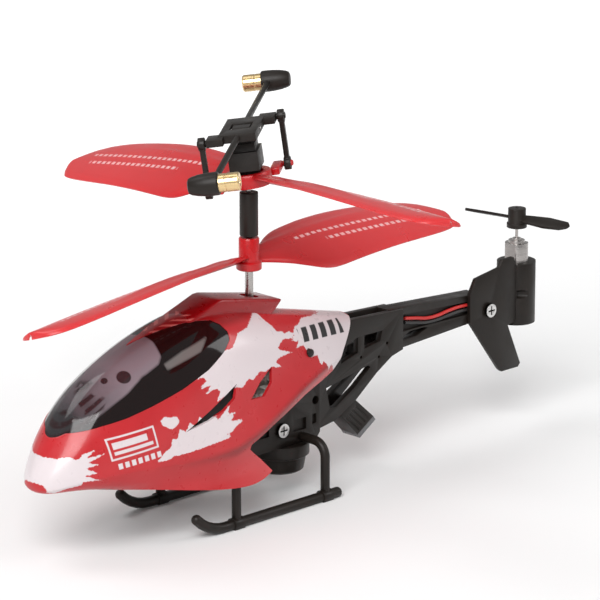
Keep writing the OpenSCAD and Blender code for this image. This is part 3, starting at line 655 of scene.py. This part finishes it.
TAIL_PANEL = [(6.8, 43.6), (13.0, 44.6), (30.4, 42.6), (31.4, 39.9), (18.6, 31.2), (17.3, 33.8),
              (16.3, 31.6), (14.9, 34.8), (13.2, 33.6), (12.8, 36.4), (10.2, 36.4), (11.2, 38.4),
              (9.0, 38.2), (8.4, 39.8), (5.0, 39.6), (7.0, 41.0), (3.8, 41.6), (6.4, 42.4)]
CREASE_LINE = [(-46.0, 21.6), (-32.0, 20.9), (-19.0, 21.2), (-8.0, 25.2), (4.0, 30.2), (18.0, 34.2),
               (30.0, 35.6), (30.0, 34.6), (18.0, 33.0), (4.0, 28.6), (-8.0, 23.2), (-19.0, 19.4),
               (-32.0, 19.6), (-46.0, 20.8)]
note_distance(canopy, "crease_shade", [CREASE_LINE])
note_distance(canopy, "splash", [BIG_SPLASH, LOW_SPLASH, NOSE_PATCH, SMALL_BLOB, TAIL_PANEL])
note_distance(deck, "splash", [BIG_SPLASH])
print("corners in the big splash", len(BIG_SPLASH))

# %% [markdown]
# The splashes are the irregular part. The badge, the bars on the tail panel and the painted highlights on
# the ridge are regular, so plain arithmetic on the place draws them. None of it is lettering.

# %% Sprayed red with its masks
def band(f, value, low, high, blur=0.08):
    """1 where value lies between low and high."""
    return f.math("MULTIPLY", f.remap(value, low - blur, low + blur),
                  f.remap(value, high + blur, high - blur))


def attribute(f, name):
    node = f.nodes.new("ShaderNodeAttribute")
    node.attribute_name = name
    return node.outputs["Fac"]


def sprayed_red():
    f = Finish("sprayed_red_canopy")
    where = f.place()
    x, y, z = f.parts(where)
    wide = f.math("ABSOLUTE", x)
    tear = f.math("MULTIPLY", f.math("SUBTRACT", f.noise(where, 1.3, 3, 0.7), 0.5), 0.9)
    white = f.remap(f.math("ADD", attribute(f, "splash"), tear), 0.07, -0.07)
    # slanted bars on the tail panel, black with a white rim
    row = f.math("MULTIPLY_ADD", y, 0.09, z)
    beat = f.math("FRACT", f.math("DIVIDE", f.math("MULTIPLY_ADD", z, -0.3, y), 3.9))
    rim = f.math("MULTIPLY", f.math("MULTIPLY", band(f, y, 7.6, 26.2), band(f, row, 40.5, 44.6)),
                 band(f, beat, 0.04, 0.96, 0.02))
    bars = f.math("MULTIPLY", f.math("MULTIPLY", band(f, y, 8.0, 25.8), band(f, row, 41.0, 44.1)),
                  band(f, beat, 0.2, 0.8, 0.02))
    # an outlined badge with two plain bars on the flank below the window, and a row of dashes
    by = f.math("MULTIPLY_ADD", z, 0.2, f.math("ADD", y, -5.08))
    bz = f.math("MULTIPLY_ADD", y, -0.11, f.math("ADD", z, -5.5))
    outer = f.math("MULTIPLY", band(f, by, -55.4, -42.6), band(f, bz, 25.5, 31.0))
    inner = f.math("MULTIPLY", band(f, by, -54.95, -43.05), band(f, bz, 25.95, 30.55))
    badge = f.math("SUBTRACT", outer, inner)
    for start, end, low, high in ((-54.2, -45.0, 28.1, 29.7), (-54.2, -43.8, 26.7, 27.5)):
        badge = f.math("MAXIMUM", badge, f.math("MULTIPLY", band(f, by, start, end),
                                                band(f, bz, low, high)))
    dash = f.math("MULTIPLY", band(f, f.math("FRACT", f.math("DIVIDE", by, 1.75)), 0.12, 0.75, 0.03),
                  band(f, bz, 23.1, 24.5))
    badge = f.math("MAXIMUM", badge, f.math("MULTIPLY", dash, band(f, by, -54.6, -42.4)))
    white = f.math("MAXIMUM", f.math("MAXIMUM", white, badge), rim)
    # the ridge and the deck are coloured a darker red towards the top, and three pale bars where the
    # windows meet are painted highlights
    deep = f.math("MULTIPLY", f.remap(f.math("MULTIPLY_ADD", wide, -0.12, z), 47.4, 48.8),
                  band(f, y, -36, 8, 1))
    highlight_beat = f.math("FRACT", f.math("DIVIDE", f.math("MULTIPLY_ADD", wide, -0.95, f.math("ADD", y, 60.0)),
                                   3.45))
    ridge_highlights = f.math("MULTIPLY", band(f, highlight_beat, 0.35, 0.72, 0.05),
                     f.math("MULTIPLY", band(f, y, -33.6, -21.8, 0.3), band(f, wide, 0.7, 4.4, 0.2)))
    # painted shade darkens the hollow under the crease, and a painted highlight makes the lip below it
    # paler
    painted_crease_shade = f.math("MULTIPLY", f.remap(attribute(f, "crease_shade"), 0.9, -0.5),
                    f.remap(y, -40.0, -20.0))
    sweep = f.remap(f.math("MULTIPLY_ADD", y, -0.42, z), 28.2, 25.8)
    pale = f.math("MULTIPLY", sweep, f.remap(y, -26.0, -8.0))
    cloud = f.noise(where, 0.12, 3)
    colour = f.mix(cloud, (0.40, 0.012, 0.016), (0.50, 0.020, 0.026))
    # painted highlight: the lip band under the crease is made paler, as if lit
    colour = f.mix(f.math("MULTIPLY", pale, 0.6), colour, (0.54, 0.075, 0.08))
    # painted shade: the band along the crease is darkened, as if in shadow
    colour = f.mix(f.math("MULTIPLY", painted_crease_shade, 0.62), colour, (0.16, 0.003, 0.005))
    colour = f.mix(deep, colour, (0.27, 0.0015, 0.004))
    # painted highlight: pale bars on the ridge where the windows meet
    colour = f.mix(f.math("MULTIPLY", ridge_highlights, deep), colour, (0.62, 0.16, 0.15))
    colour = f.mix(white, colour, (0.64, 0.575, 0.59))
    colour = f.mix(bars, colour, (0.012, 0.011, 0.012))
    f.set(Base_Color=colour, Roughness=f.remap(f.noise(where, 0.5, 3), 0.3, 0.7, 0.26, 0.36),
          Coat_Weight=0.25, Coat_Roughness=0.1, Specular_IOR_Level=0.34)
    f.bump(f.math("ADD", f.math("MULTIPLY", white, 0.6), f.noise(where, 0.7, 2)), 0.15, 0.00003)
    return f.material


red_paint = sprayed_red()
stand_for(canopy, "canopy", red_paint)
dress(deck, red_paint)
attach(deck, "root")
print("painted the canopy and the deck")

# %% [markdown]
# ## Smoked windshield and what is behind it
# The moulding is black at the back and along the sill. Its top and front are a paler smoke with dark
# stripes and round instruments, printed on the inside. Its polish is what shows most, and a grey patch on
# the dark pane is a painted reflection of softbox glare.

# %% Smoked glass
CLEAR_PANE = [(-62.4, 30.4), (-60.7, 31.6), (-58.9, 33.4), (-52.2, 37.1), (-48.0, 39.2), (-43.0, 42.2),
              (-37.8, 44.2), (-36.2, 45.6), (-35.4, 48.0), (-35.0, 51.0), (-50.0, 58.0), (-76.0, 42.0),
              (-66.0, 29.6)]
# the outline of a painted reflection: a grey patch of softbox glare on the dark pane
SOFTBOX_GLARE = [(-36.6, 44.1), (-31.0, 46.0), (-23.0, 48.0), (-26.3, 45.4), (-36.4, 42.9)]
note_distance(windshield, "clear_pane", [CLEAR_PANE])
note_distance(windshield, "painted_glare", [SOFTBOX_GLARE])


def disc(f, where, centre, radius):
    """1 inside a round mark drawn on the moulding."""
    off = f.vector("LENGTH", f.vector("SUBTRACT", where, centre))
    return f.remap(off, radius + 0.12, radius - 0.12)


def smoked():
    f = Finish("smoked_glass")
    where = f.place()
    x, y, z = f.parts(where)
    side = f.combine(f.math("ABSOLUTE", x), y, z)
    cloud = f.noise(where, 0.2, 3)
    pane = f.remap(f.math("ADD", attribute(f, "clear_pane"), f.math("MULTIPLY", cloud, 0.3)), 0.35, -0.1)
    # painted reflection mask: where the softbox glare is painted on the pane
    sheet = f.remap(attribute(f, "painted_glare"), 0.25, -0.2)
    fade = f.remap(f.math("MULTIPLY_ADD", cloud, 6.0, y), -57.0, -44.0)
    along = f.math("FRACT", f.math("DIVIDE", f.math("MULTIPLY_ADD", y, -0.63, z), 1.3))
    stripes = f.math("MULTIPLY", band(f, along, 0.3, 0.8, 0.08),
                     f.math("MULTIPLY", band(f, f.math("MULTIPLY_ADD", cloud, 5.0, y), -62.0, -50.5, 0.6),
                            band(f, cloud, 0.3, 0.56, 0.03)))
    marks = f.math("MAXIMUM", disc(f, side, (6.3, -46.6, 42.5), 1.75),
                   disc(f, side, (3.9, -50.6, 41.9), 0.85))
    marks = f.math("MAXIMUM", marks, f.math("MULTIPLY", stripes, 0.9))
    colour = f.mix(fade, (0.028, 0.026, 0.028), (0.23, 0.18, 0.205))
    colour = f.mix(f.math("MULTIPLY", marks, 0.92), colour, (0.02, 0.006, 0.007))
    # the dark pane gets its painted softbox reflection, a grey patch
    colour = f.mix(pane, f.mix(f.math("MULTIPLY", sheet, 0.8), (0.007, 0.003, 0.003),
                               (0.17, 0.155, 0.15)), colour)
    f.set(Base_Color=colour, Roughness=f.remap(cloud, 0.3, 0.7, 0.05, 0.1),
          Alpha=f.mix(pane, (0.985, 0.985, 0.985), (0.93, 0.93, 0.93)), IOR=1.45, Specular_IOR_Level=0.3,
          Coat_Weight=0.2, Coat_Roughness=0.03)
    return f.material


stand_for(windshield, "windshield", smoked())
print("glazed", windshield.name)

# %% [markdown]
# The tub behind the glass is only a dark shape with a few pale slanted lines along its coaming. Its
# CAD block has the right form, so a rounded copy of it stands in its place with that finish.

# %% Cockpit tub with its striped coaming
def tub_finish():
    f = Finish("cockpit_tub")
    where = f.place()
    x, y, z = f.parts(where)
    slant = f.math("FRACT", f.math("DIVIDE", f.math("ADD", x, f.math("MULTIPLY", y, 0.45)), 2.6))
    lines = f.math("MULTIPLY", band(f, slant, 0.1, 0.3, 0.03), band(f, y, -58.0, -47.0))
    grain = f.noise(where, 2.0, 3)
    f.set(Base_Color=f.mix(lines, f.mix(grain, (0.02, 0.018, 0.018), (0.05, 0.045, 0.045)),
                           (0.5, 0.47, 0.46)),
          Roughness=f.remap(grain, 0.3, 0.7, 0.4, 0.6))
    f.bump(grain, 0.2, 0.0001)
    return f.material


soften("cockpit_tub", tub_finish(), 0.6)
print("cockpit tub rounded and striped")

# %% [markdown]
# ## Rotor blades
# Each blade is one thin moulding, twisted from root to tip, hollow underneath and crowned on top,
# with a raised spar that runs out from the hub. A grid is the natural start: one way along the
# span, the other across the chord. Every grid point then goes to its place on the blade, and the
# sheet gets a wall that thins towards its rim. The grid's own map keeps the printed dashes on the
# blade whichever way it turns.

# %% Outline of a blade: share of the radius, leading edge, trailing edge in millimetres
OUTLINE = [(0.02, 1.6, -1.6), (0.06, 2.5, -2.5), (0.1, 3.6, -3.6), (0.15, 5.4, -5.2), (0.2, 6.7, -7.4),
           (0.245, 7.4, -9.4), (0.28, 7.8, -10.2), (0.33, 8.3, -10.3), (0.37, 8.7, -10.1),
           (0.5, 9.4, -9.3), (0.65, 9.5, -8.5), (0.8, 8.9, -7.9), (0.9, 7.6, -7.3), (0.95, 6.0, -6.7),
           (0.975, 4.2, -6.1), (0.99, 2.2, -5.2), (0.997, 0.3, -4.1), (1.0, -1.5, -2.5)]
RADIUS, ROOT_PITCH, TIP_PITCH, DROOP = 73.5, 27.0, 17.0, 3.5


def edges_at(share):
    """Leading and trailing edge at a share of the radius, eased between the outline's stations."""
    last = len(OUTLINE) - 1
    i = max(k for k in range(last) if OUTLINE[k][0] <= share + 1e-9)
    s0, s1 = OUTLINE[i][0], OUTLINE[i + 1][0]
    t = (share - s0) / (s1 - s0)

    def slope(k, c):
        lo, hi = max(k - 1, 0), min(k + 1, last)
        return (OUTLINE[hi][c] - OUTLINE[lo][c]) / (OUTLINE[hi][0] - OUTLINE[lo][0]) * (s1 - s0)

    h = (2 * t ** 3 - 3 * t ** 2 + 1, t ** 3 - 2 * t ** 2 + t, 3 * t ** 2 - 2 * t ** 3, t ** 3 - t ** 2)
    return [h[0] * OUTLINE[i][c] + h[1] * slope(i, c)
            + h[2] * OUTLINE[i + 1][c] + h[3] * slope(i + 1, c)
            for c in (1, 2)]


def rim_edges(sheet):
    """Edges that belong to one face only."""
    count = {}
    for face in sheet.data.polygons:
        for key in face.edge_keys:
            count[key] = count.get(key, 0) + 1
    return [edge for edge in sheet.data.edges if count.get(edge.key, 0) == 1]


def blade_sheet(name, hand, steps=72, across=16):
    """A blade along +X with its map: u is the share of the radius, v the place across in 24 mm."""
    bpy.ops.mesh.primitive_grid_add(x_subdivisions=steps, y_subdivisions=across, size=2, calc_uvs=True)
    blade = bpy.context.object
    blade.name = name
    places = {}
    for vertex in blade.data.vertices:
        u, c = (vertex.co.x + 1) / 2, (vertex.co.y + 1) / 2
        share = 0.02 + 0.98 * (1 - (1 - u) ** 1.25)
        lead, trail = edges_at(min(share, 0.9999))
        y = trail + (lead - trail) * c
        pitch = math.radians(ROOT_PITCH + (TIP_PITCH - ROOT_PITCH) * share)
        camber = 1.15 * math.sin(math.pi * c) * min(1, 3 * share)
        spar = 0.55 * math.exp(-((y - 1.6 - 4.5 * share) / 0.75) ** 2) * min(1, share / 0.1)
        spar *= max(0.0, min(1.0, (0.74 - share) / 0.2))
        rim = -0.35 * (abs(2 * c - 1) ** 8)
        z = y * math.sin(pitch) + camber + spar + rim - DROOP * share ** 2
        places[vertex.index] = (share, 0.5 + y / 24)
        vertex.co = (share * RADIUS * MM, hand * y * math.cos(pitch) * MM, z * MM)
    layer = blade.data.uv_layers.active.data
    for loop in blade.data.loops:
        layer[loop.index].uv = places[loop.vertex_index]
    rim = {vertex for edge in rim_edges(blade) for vertex in edge.vertices}
    body = blade.vertex_groups.new(name="body")
    body.add([vertex.index for vertex in blade.data.vertices if vertex.index not in rim], 1.0, "REPLACE")
    return blade


def two_blades(name, hand, turn, frame_of_hub):
    """The blade and its twin, half a turn apart, walled and set on the hub."""
    blades = []
    for angle in (0, math.pi):
        blade = blade_sheet(name, hand)
        blade.data.transform(frame_of_hub @ Matrix.Rotation(math.radians(turn) + angle, 4, "Z"))
        blades.append(blade)
    pair = joined(*blades)
    face_outwards(pair)
    wall = pair.modifiers.new("wall", "SOLIDIFY")
    wall.thickness = 0.75 * MM
    wall.offset = 0
    wall.vertex_group = "body"
    wall.thickness_vertex_group = 0.4
    apply_modifiers(pair)
    smooth(pair, 50)
    return pair


print("widest chord", max(round(lead - trail, 1) for share, lead, trail in OUTLINE), "mm")

# %% [markdown]
# The blades are dyed right through. Their colour is painted along the span to stand for light glowing
# through the plastic: paler outboard where it is thin, deep red near the hub. Two rows of pale dashes are
# printed on them where such blades carry small print.

# %% Dyed blade plastic
def blade_red():
    f = Finish("dyed_red_blade")
    where = f.place()
    uv = f.nodes.new("ShaderNodeUVMap").outputs[0]
    u, v, _ = f.parts(uv)
    cloud = f.noise(where, 0.1, 3)
    # painted glow: the colour gets paler towards the tips, as if lit through the plastic
    painted_tip_glow = f.remap(f.math("MULTIPLY_ADD", cloud, 0.15, u), 0.1, 0.75)
    colour = f.mix(painted_tip_glow, (0.46, 0.003, 0.006), (0.56, 0.03, 0.034))
    y = f.math("MULTIPLY", f.math("SUBTRACT", v, 0.5), 24.0)
    shape = f.math("SUBTRACT", f.noise(f.combine(f.math("MULTIPLY", u, 73.5), y, 0.0), 3.2, 1), 0.5)
    rows = None
    for low, start, end, offset in ((0.4, 0.24, 0.9, 0.0), (-2.6, 0.36, 0.88, 0.4)):
        beat = f.math("FRACT", f.math("MULTIPLY_ADD", u, 34.0, offset))
        dash = f.math("MULTIPLY", band(f, beat, 0.12, 0.74, 0.04), band(f, y, low, low + 0.95, 0.1))
        row = f.math("MULTIPLY", dash, band(f, u, start, end, 0.004))
        rows = row if rows is None else f.math("MAXIMUM", rows, row)
    worn = f.math("MULTIPLY", rows, f.remap(shape, -0.22, -0.1, 0.25, 0.62))
    f.set(Base_Color=f.mix(worn, colour, (0.86, 0.62, 0.62)),
          Roughness=f.remap(cloud, 0.3, 0.7, 0.26, 0.36),
          Subsurface_Weight=0.35, Subsurface_Radius=(0.004, 0.0006, 0.0005), Subsurface_Scale=0.5,
          Specular_IOR_Level=0.5)
    f.bump(f.noise(where, 0.4, 1), 0.12, 0.00005)
    return f.material


blade_finish = blade_red()
print("made", blade_finish.name)

# %% [markdown]
# ## Lower rotor
# Its hub is a plain turned collar with a foot flange, pressed on the steel tube. The profile is
# spun like a lathe part and joined to the blades.

# %% Lower rotor
LOWER_TURN, LOWER_Z = -85, 61
lower = two_blades("lower_rotor_blades", 1, LOWER_TURN, Matrix.Translation(spot(0, 0, LOWER_Z)))
hub = turned("lower_hub", [(1.0, 58.4), (2.9, 58.4), (3.1, 58.6), (3.1, 60.2), (2.9, 60.4), (2.6, 60.6),
                           (2.5, 61.2), (2.5, 66.0), (2.3, 66.3), (1.0, 66.3), (1.0, 58.4)])
smooth(hub, 40)


def join_into(main, *others):
    """Joins plain parts to the blades, with their map parked where no dashes are printed."""
    for other in others:
        if not other.data.uv_layers:
            other.data.uv_layers.new()
        other.data.uv_layers.active.name = main.data.uv_layers.active.name
        for corner in other.data.uv_layers.active.data:
            corner.uv = (0.02, 0.5)
    return joined(main, *others)


join_into(lower, hub)
stand_for(lower, "lower_rotor", blade_finish)
print("lower rotor faces", len(lower.data.polygons))

# %% [markdown]
# ## Upper rotor
# The upper rotor hangs on the head by a ring, with an ear on each side for a pushrod. The head
# leans, so the pieces are made upright round the pivot and then carried over by one matrix.

# %% Upper rotor
PIVOT_Z, FLYBAR_TURN, HEAD_LEAN, UPPER_TURN = 81, -51, 8, 44
head_place = (Matrix.Translation(spot(0, 0, PIVOT_Z))
              @ Matrix.Rotation(math.radians(FLYBAR_TURN), 4, "Z")
              @ Matrix.Rotation(math.radians(HEAD_LEAN), 4, "X"))
upper = two_blades("upper_rotor_blades", -1, UPPER_TURN, head_place)
ring = turned("upper_ring", [(3.8, -1.5), (4.0, -1.7), (5.4, -1.7), (5.6, -1.4), (5.6, 1.3), (5.4, 1.6),
                             (4.0, 1.6), (3.8, 1.4), (3.8, -1.5)])
ring.data.transform(head_place @ Matrix.Translation(-MAST))
smooth(ring, 40)
ears = []
for side in (0, math.pi):
    bpy.ops.mesh.primitive_cube_add(size=1)
    ear = bpy.context.object
    ear.data.transform(Matrix.Translation((7.1 * MM, -5.9 * MM, 0))
                       @ Matrix.Diagonal((8.0 * MM, 2.4 * MM, 1.8 * MM, 1)))
    bpy.ops.mesh.primitive_cylinder_add(vertices=24, radius=0.7 * MM, depth=3.4 * MM)
    pin = bpy.context.object
    pin.data.transform(Matrix.Translation((11 * MM, -7.9 * MM, 0))
                       @ Matrix.Rotation(math.pi / 2, 4, "X"))
    join_into(ear, pin)
    edge = ear.modifiers.new("edge", "BEVEL")
    edge.width, edge.segments, edge.limit_method = 0.35 * MM, 2, "ANGLE"
    apply_modifiers(ear)
    smooth(ear, 40)
    ear.data.transform(head_place @ Matrix.Rotation(side, 4, "Z"))
    ears.append(ear)
join_into(upper, ring, *ears)
stand_for(upper, "upper_rotor", blade_finish)
print("upper rotor faces", len(upper.data.polygons))

# %% [markdown]
# ## Flybar ends
# Each end of the flybar is a bullet-shaped black cap with a brass weight pushed into it. Both are
# lathe shapes, so each profile is spun once per end and carried to its place on the leaning head.

# %% Caps and weights
CAP = [(0, -5.6), (1.3, -5.6), (1.75, -5.4), (2.1, -4.7), (2.45, -3.2), (2.65, -1.4), (2.7, 0),
       (2.7, 1.3), (2.5, 1.6), (0, 1.6)]
WEIGHT = [(0, 1.6), (2.15, 1.6), (2.15, 3.0), (2.08, 3.1), (2.08, 3.3), (2.15, 3.4), (2.15, 6.1),
          (1.9, 6.4), (1.1, 6.4), (1.0, 6.2), (1.0, 5.8), (0, 5.8)]
FLYBAR_REACH, FLYBAR_RISE = 53, 11.8


def flybar_ends(name, profile):
    """The profile spun once for each end of the flybar, lying across it."""
    ends = []
    for side in (0, math.pi):
        end = turned(name, profile, 40)
        end.data.transform(head_place @ Matrix.Rotation(side, 4, "Z")
                           @ Matrix.Translation((FLYBAR_REACH * MM, 0, FLYBAR_RISE * MM))
                           @ Matrix.Rotation(-math.pi / 2, 4, "X") @ Matrix.Translation(-MAST))
        ends.append(end)
    pair = joined(*ends)
    smooth(pair, 32)
    return pair


stand_for(flybar_ends("bullet_caps", CAP), "flybar_caps", black)
stand_for(flybar_ends("flybar_weights", WEIGHT), "brass_weights", brass)
print("caps and weights at", FLYBAR_REACH, "mm from the mast")

# %% [markdown]
# ## Wires to the tail motor
# Two thin wires lie in the recess of the boom. Each is a curve through a few points with a round
# section, turned into a mesh once it lies right.

# %% Tail wires
def wire(name, points, radius=0.45):
    """A round wire through the points, as a mesh."""
    bpy.ops.curve.primitive_bezier_curve_add()
    curve = bpy.context.object
    curve.name = name
    spline = curve.data.splines[0]
    spline.bezier_points.add(len(points) - 2)
    for knot, place in zip(spline.bezier_points, points):
        knot.co = spot(*place)
        knot.handle_left_type = knot.handle_right_type = "AUTO"
    curve.location = (0, 0, 0)
    curve.data.bevel_depth = radius * MM
    curve.data.bevel_resolution = 4
    curve.data.resolution_u = 10
    curve.data.use_fill_caps = True
    pick(curve)
    bpy.ops.object.convert(target="MESH")
    piece = bpy.context.object
    smooth(piece, 60)
    return piece


red_wire = wire("red_tail_wire", [(1.9, 52, 35.9), (1.95, 56, 35.2), (1.95, 60, 34.4), (1.9, 64, 34.3),
                                  (1.95, 68, 34.8), (1.95, 72, 35.0), (1.9, 77.5, 34.6)])
stand_for(red_wire, "tail_wire_red", red_sleeving)
black_wire = wire("black_tail_wire", [(1.9, 52, 34.8), (1.95, 56, 34.0), (1.95, 60, 33.3),
                                      (1.9, 64, 33.2), (1.95, 68, 33.6), (1.95, 72, 33.8),
                                      (1.9, 77.5, 33.4)])
stand_for(black_wire, "tail_wire_black", black_sleeving)
soften("tail_prop", black, 0.22)
print("two tail wires and the propeller")

# %% [markdown]
# ## Studio
# A pale floor, a soft white surround and three soft lamps: a large key ahead and to the machine's
# left, a weak one high on the other side, and a low rim from behind that outlines the black parts.
# The floor is paper with a painted glow: an emission that rises towards its far side stands in for the
# light on a lit backdrop.

# %% Floor
bpy.ops.mesh.primitive_plane_add(size=3.2, location=(0, 0.5, 0))
floor = bpy.context.object
floor.name = "studio_floor"


def paper():
    f = Finish("pale_paper")
    where = f.place()
    x, y, _ = f.parts(where)
    # painted light: the floor's emission grows along one fixed direction, away from the front
    away = f.math("ADD", f.math("MULTIPLY", x, -0.96), f.math("MULTIPLY", y, 0.44))
    f.set(Base_Color=f.mix(f.noise(where, 0.02, 3), (0.83, 0.83, 0.83), (0.86, 0.86, 0.86)),
          Roughness=0.75,
          Specular_IOR_Level=0.2, Emission_Color=(1, 1, 1, 1),
          Emission_Strength=f.remap(away, -120.0, 400.0, 0.02, 0.55))
    return f.material


dress(floor, paper())
print("floor", round(floor.dimensions.x, 2), "m wide")

# %% Surround and lamps
bpy.context.scene.view_settings.view_transform = "Standard"
world = bpy.data.worlds.new("soft_surround")
bpy.context.scene.world = world
world.use_nodes = True
world.node_tree.nodes["Background"].inputs["Color"].default_value = (1, 1, 1, 1)
world.node_tree.nodes["Background"].inputs["Strength"].default_value = 0.42
LAMP_REACH = 2.2


def softbox(name, turn, tilt, size, power):
    """A square lamp seen from the machine at a compass turn and height, aimed at the canopy."""
    toward = Vector((math.sin(math.radians(turn)) * math.cos(math.radians(tilt)),
                     -math.cos(math.radians(turn)) * math.cos(math.radians(tilt)),
                     math.sin(math.radians(tilt))))
    at = spot(0, 0, 45) + toward * LAMP_REACH
    bpy.ops.object.light_add(type="AREA", location=at)
    lamp = bpy.context.object
    lamp.name = name
    lamp.data.size = size
    lamp.data.energy = power
    lamp.rotation_euler = (-toward).to_track_quat("-Z", "Y").to_euler()
    print(name, power, "W")


softbox("key_softbox", 32, 40, 1.3, 46.0)
softbox("top_softbox", -60, 60, 1.0, 9.0)
softbox("rim_softbox", 140, 30, 0.8, 8.0)
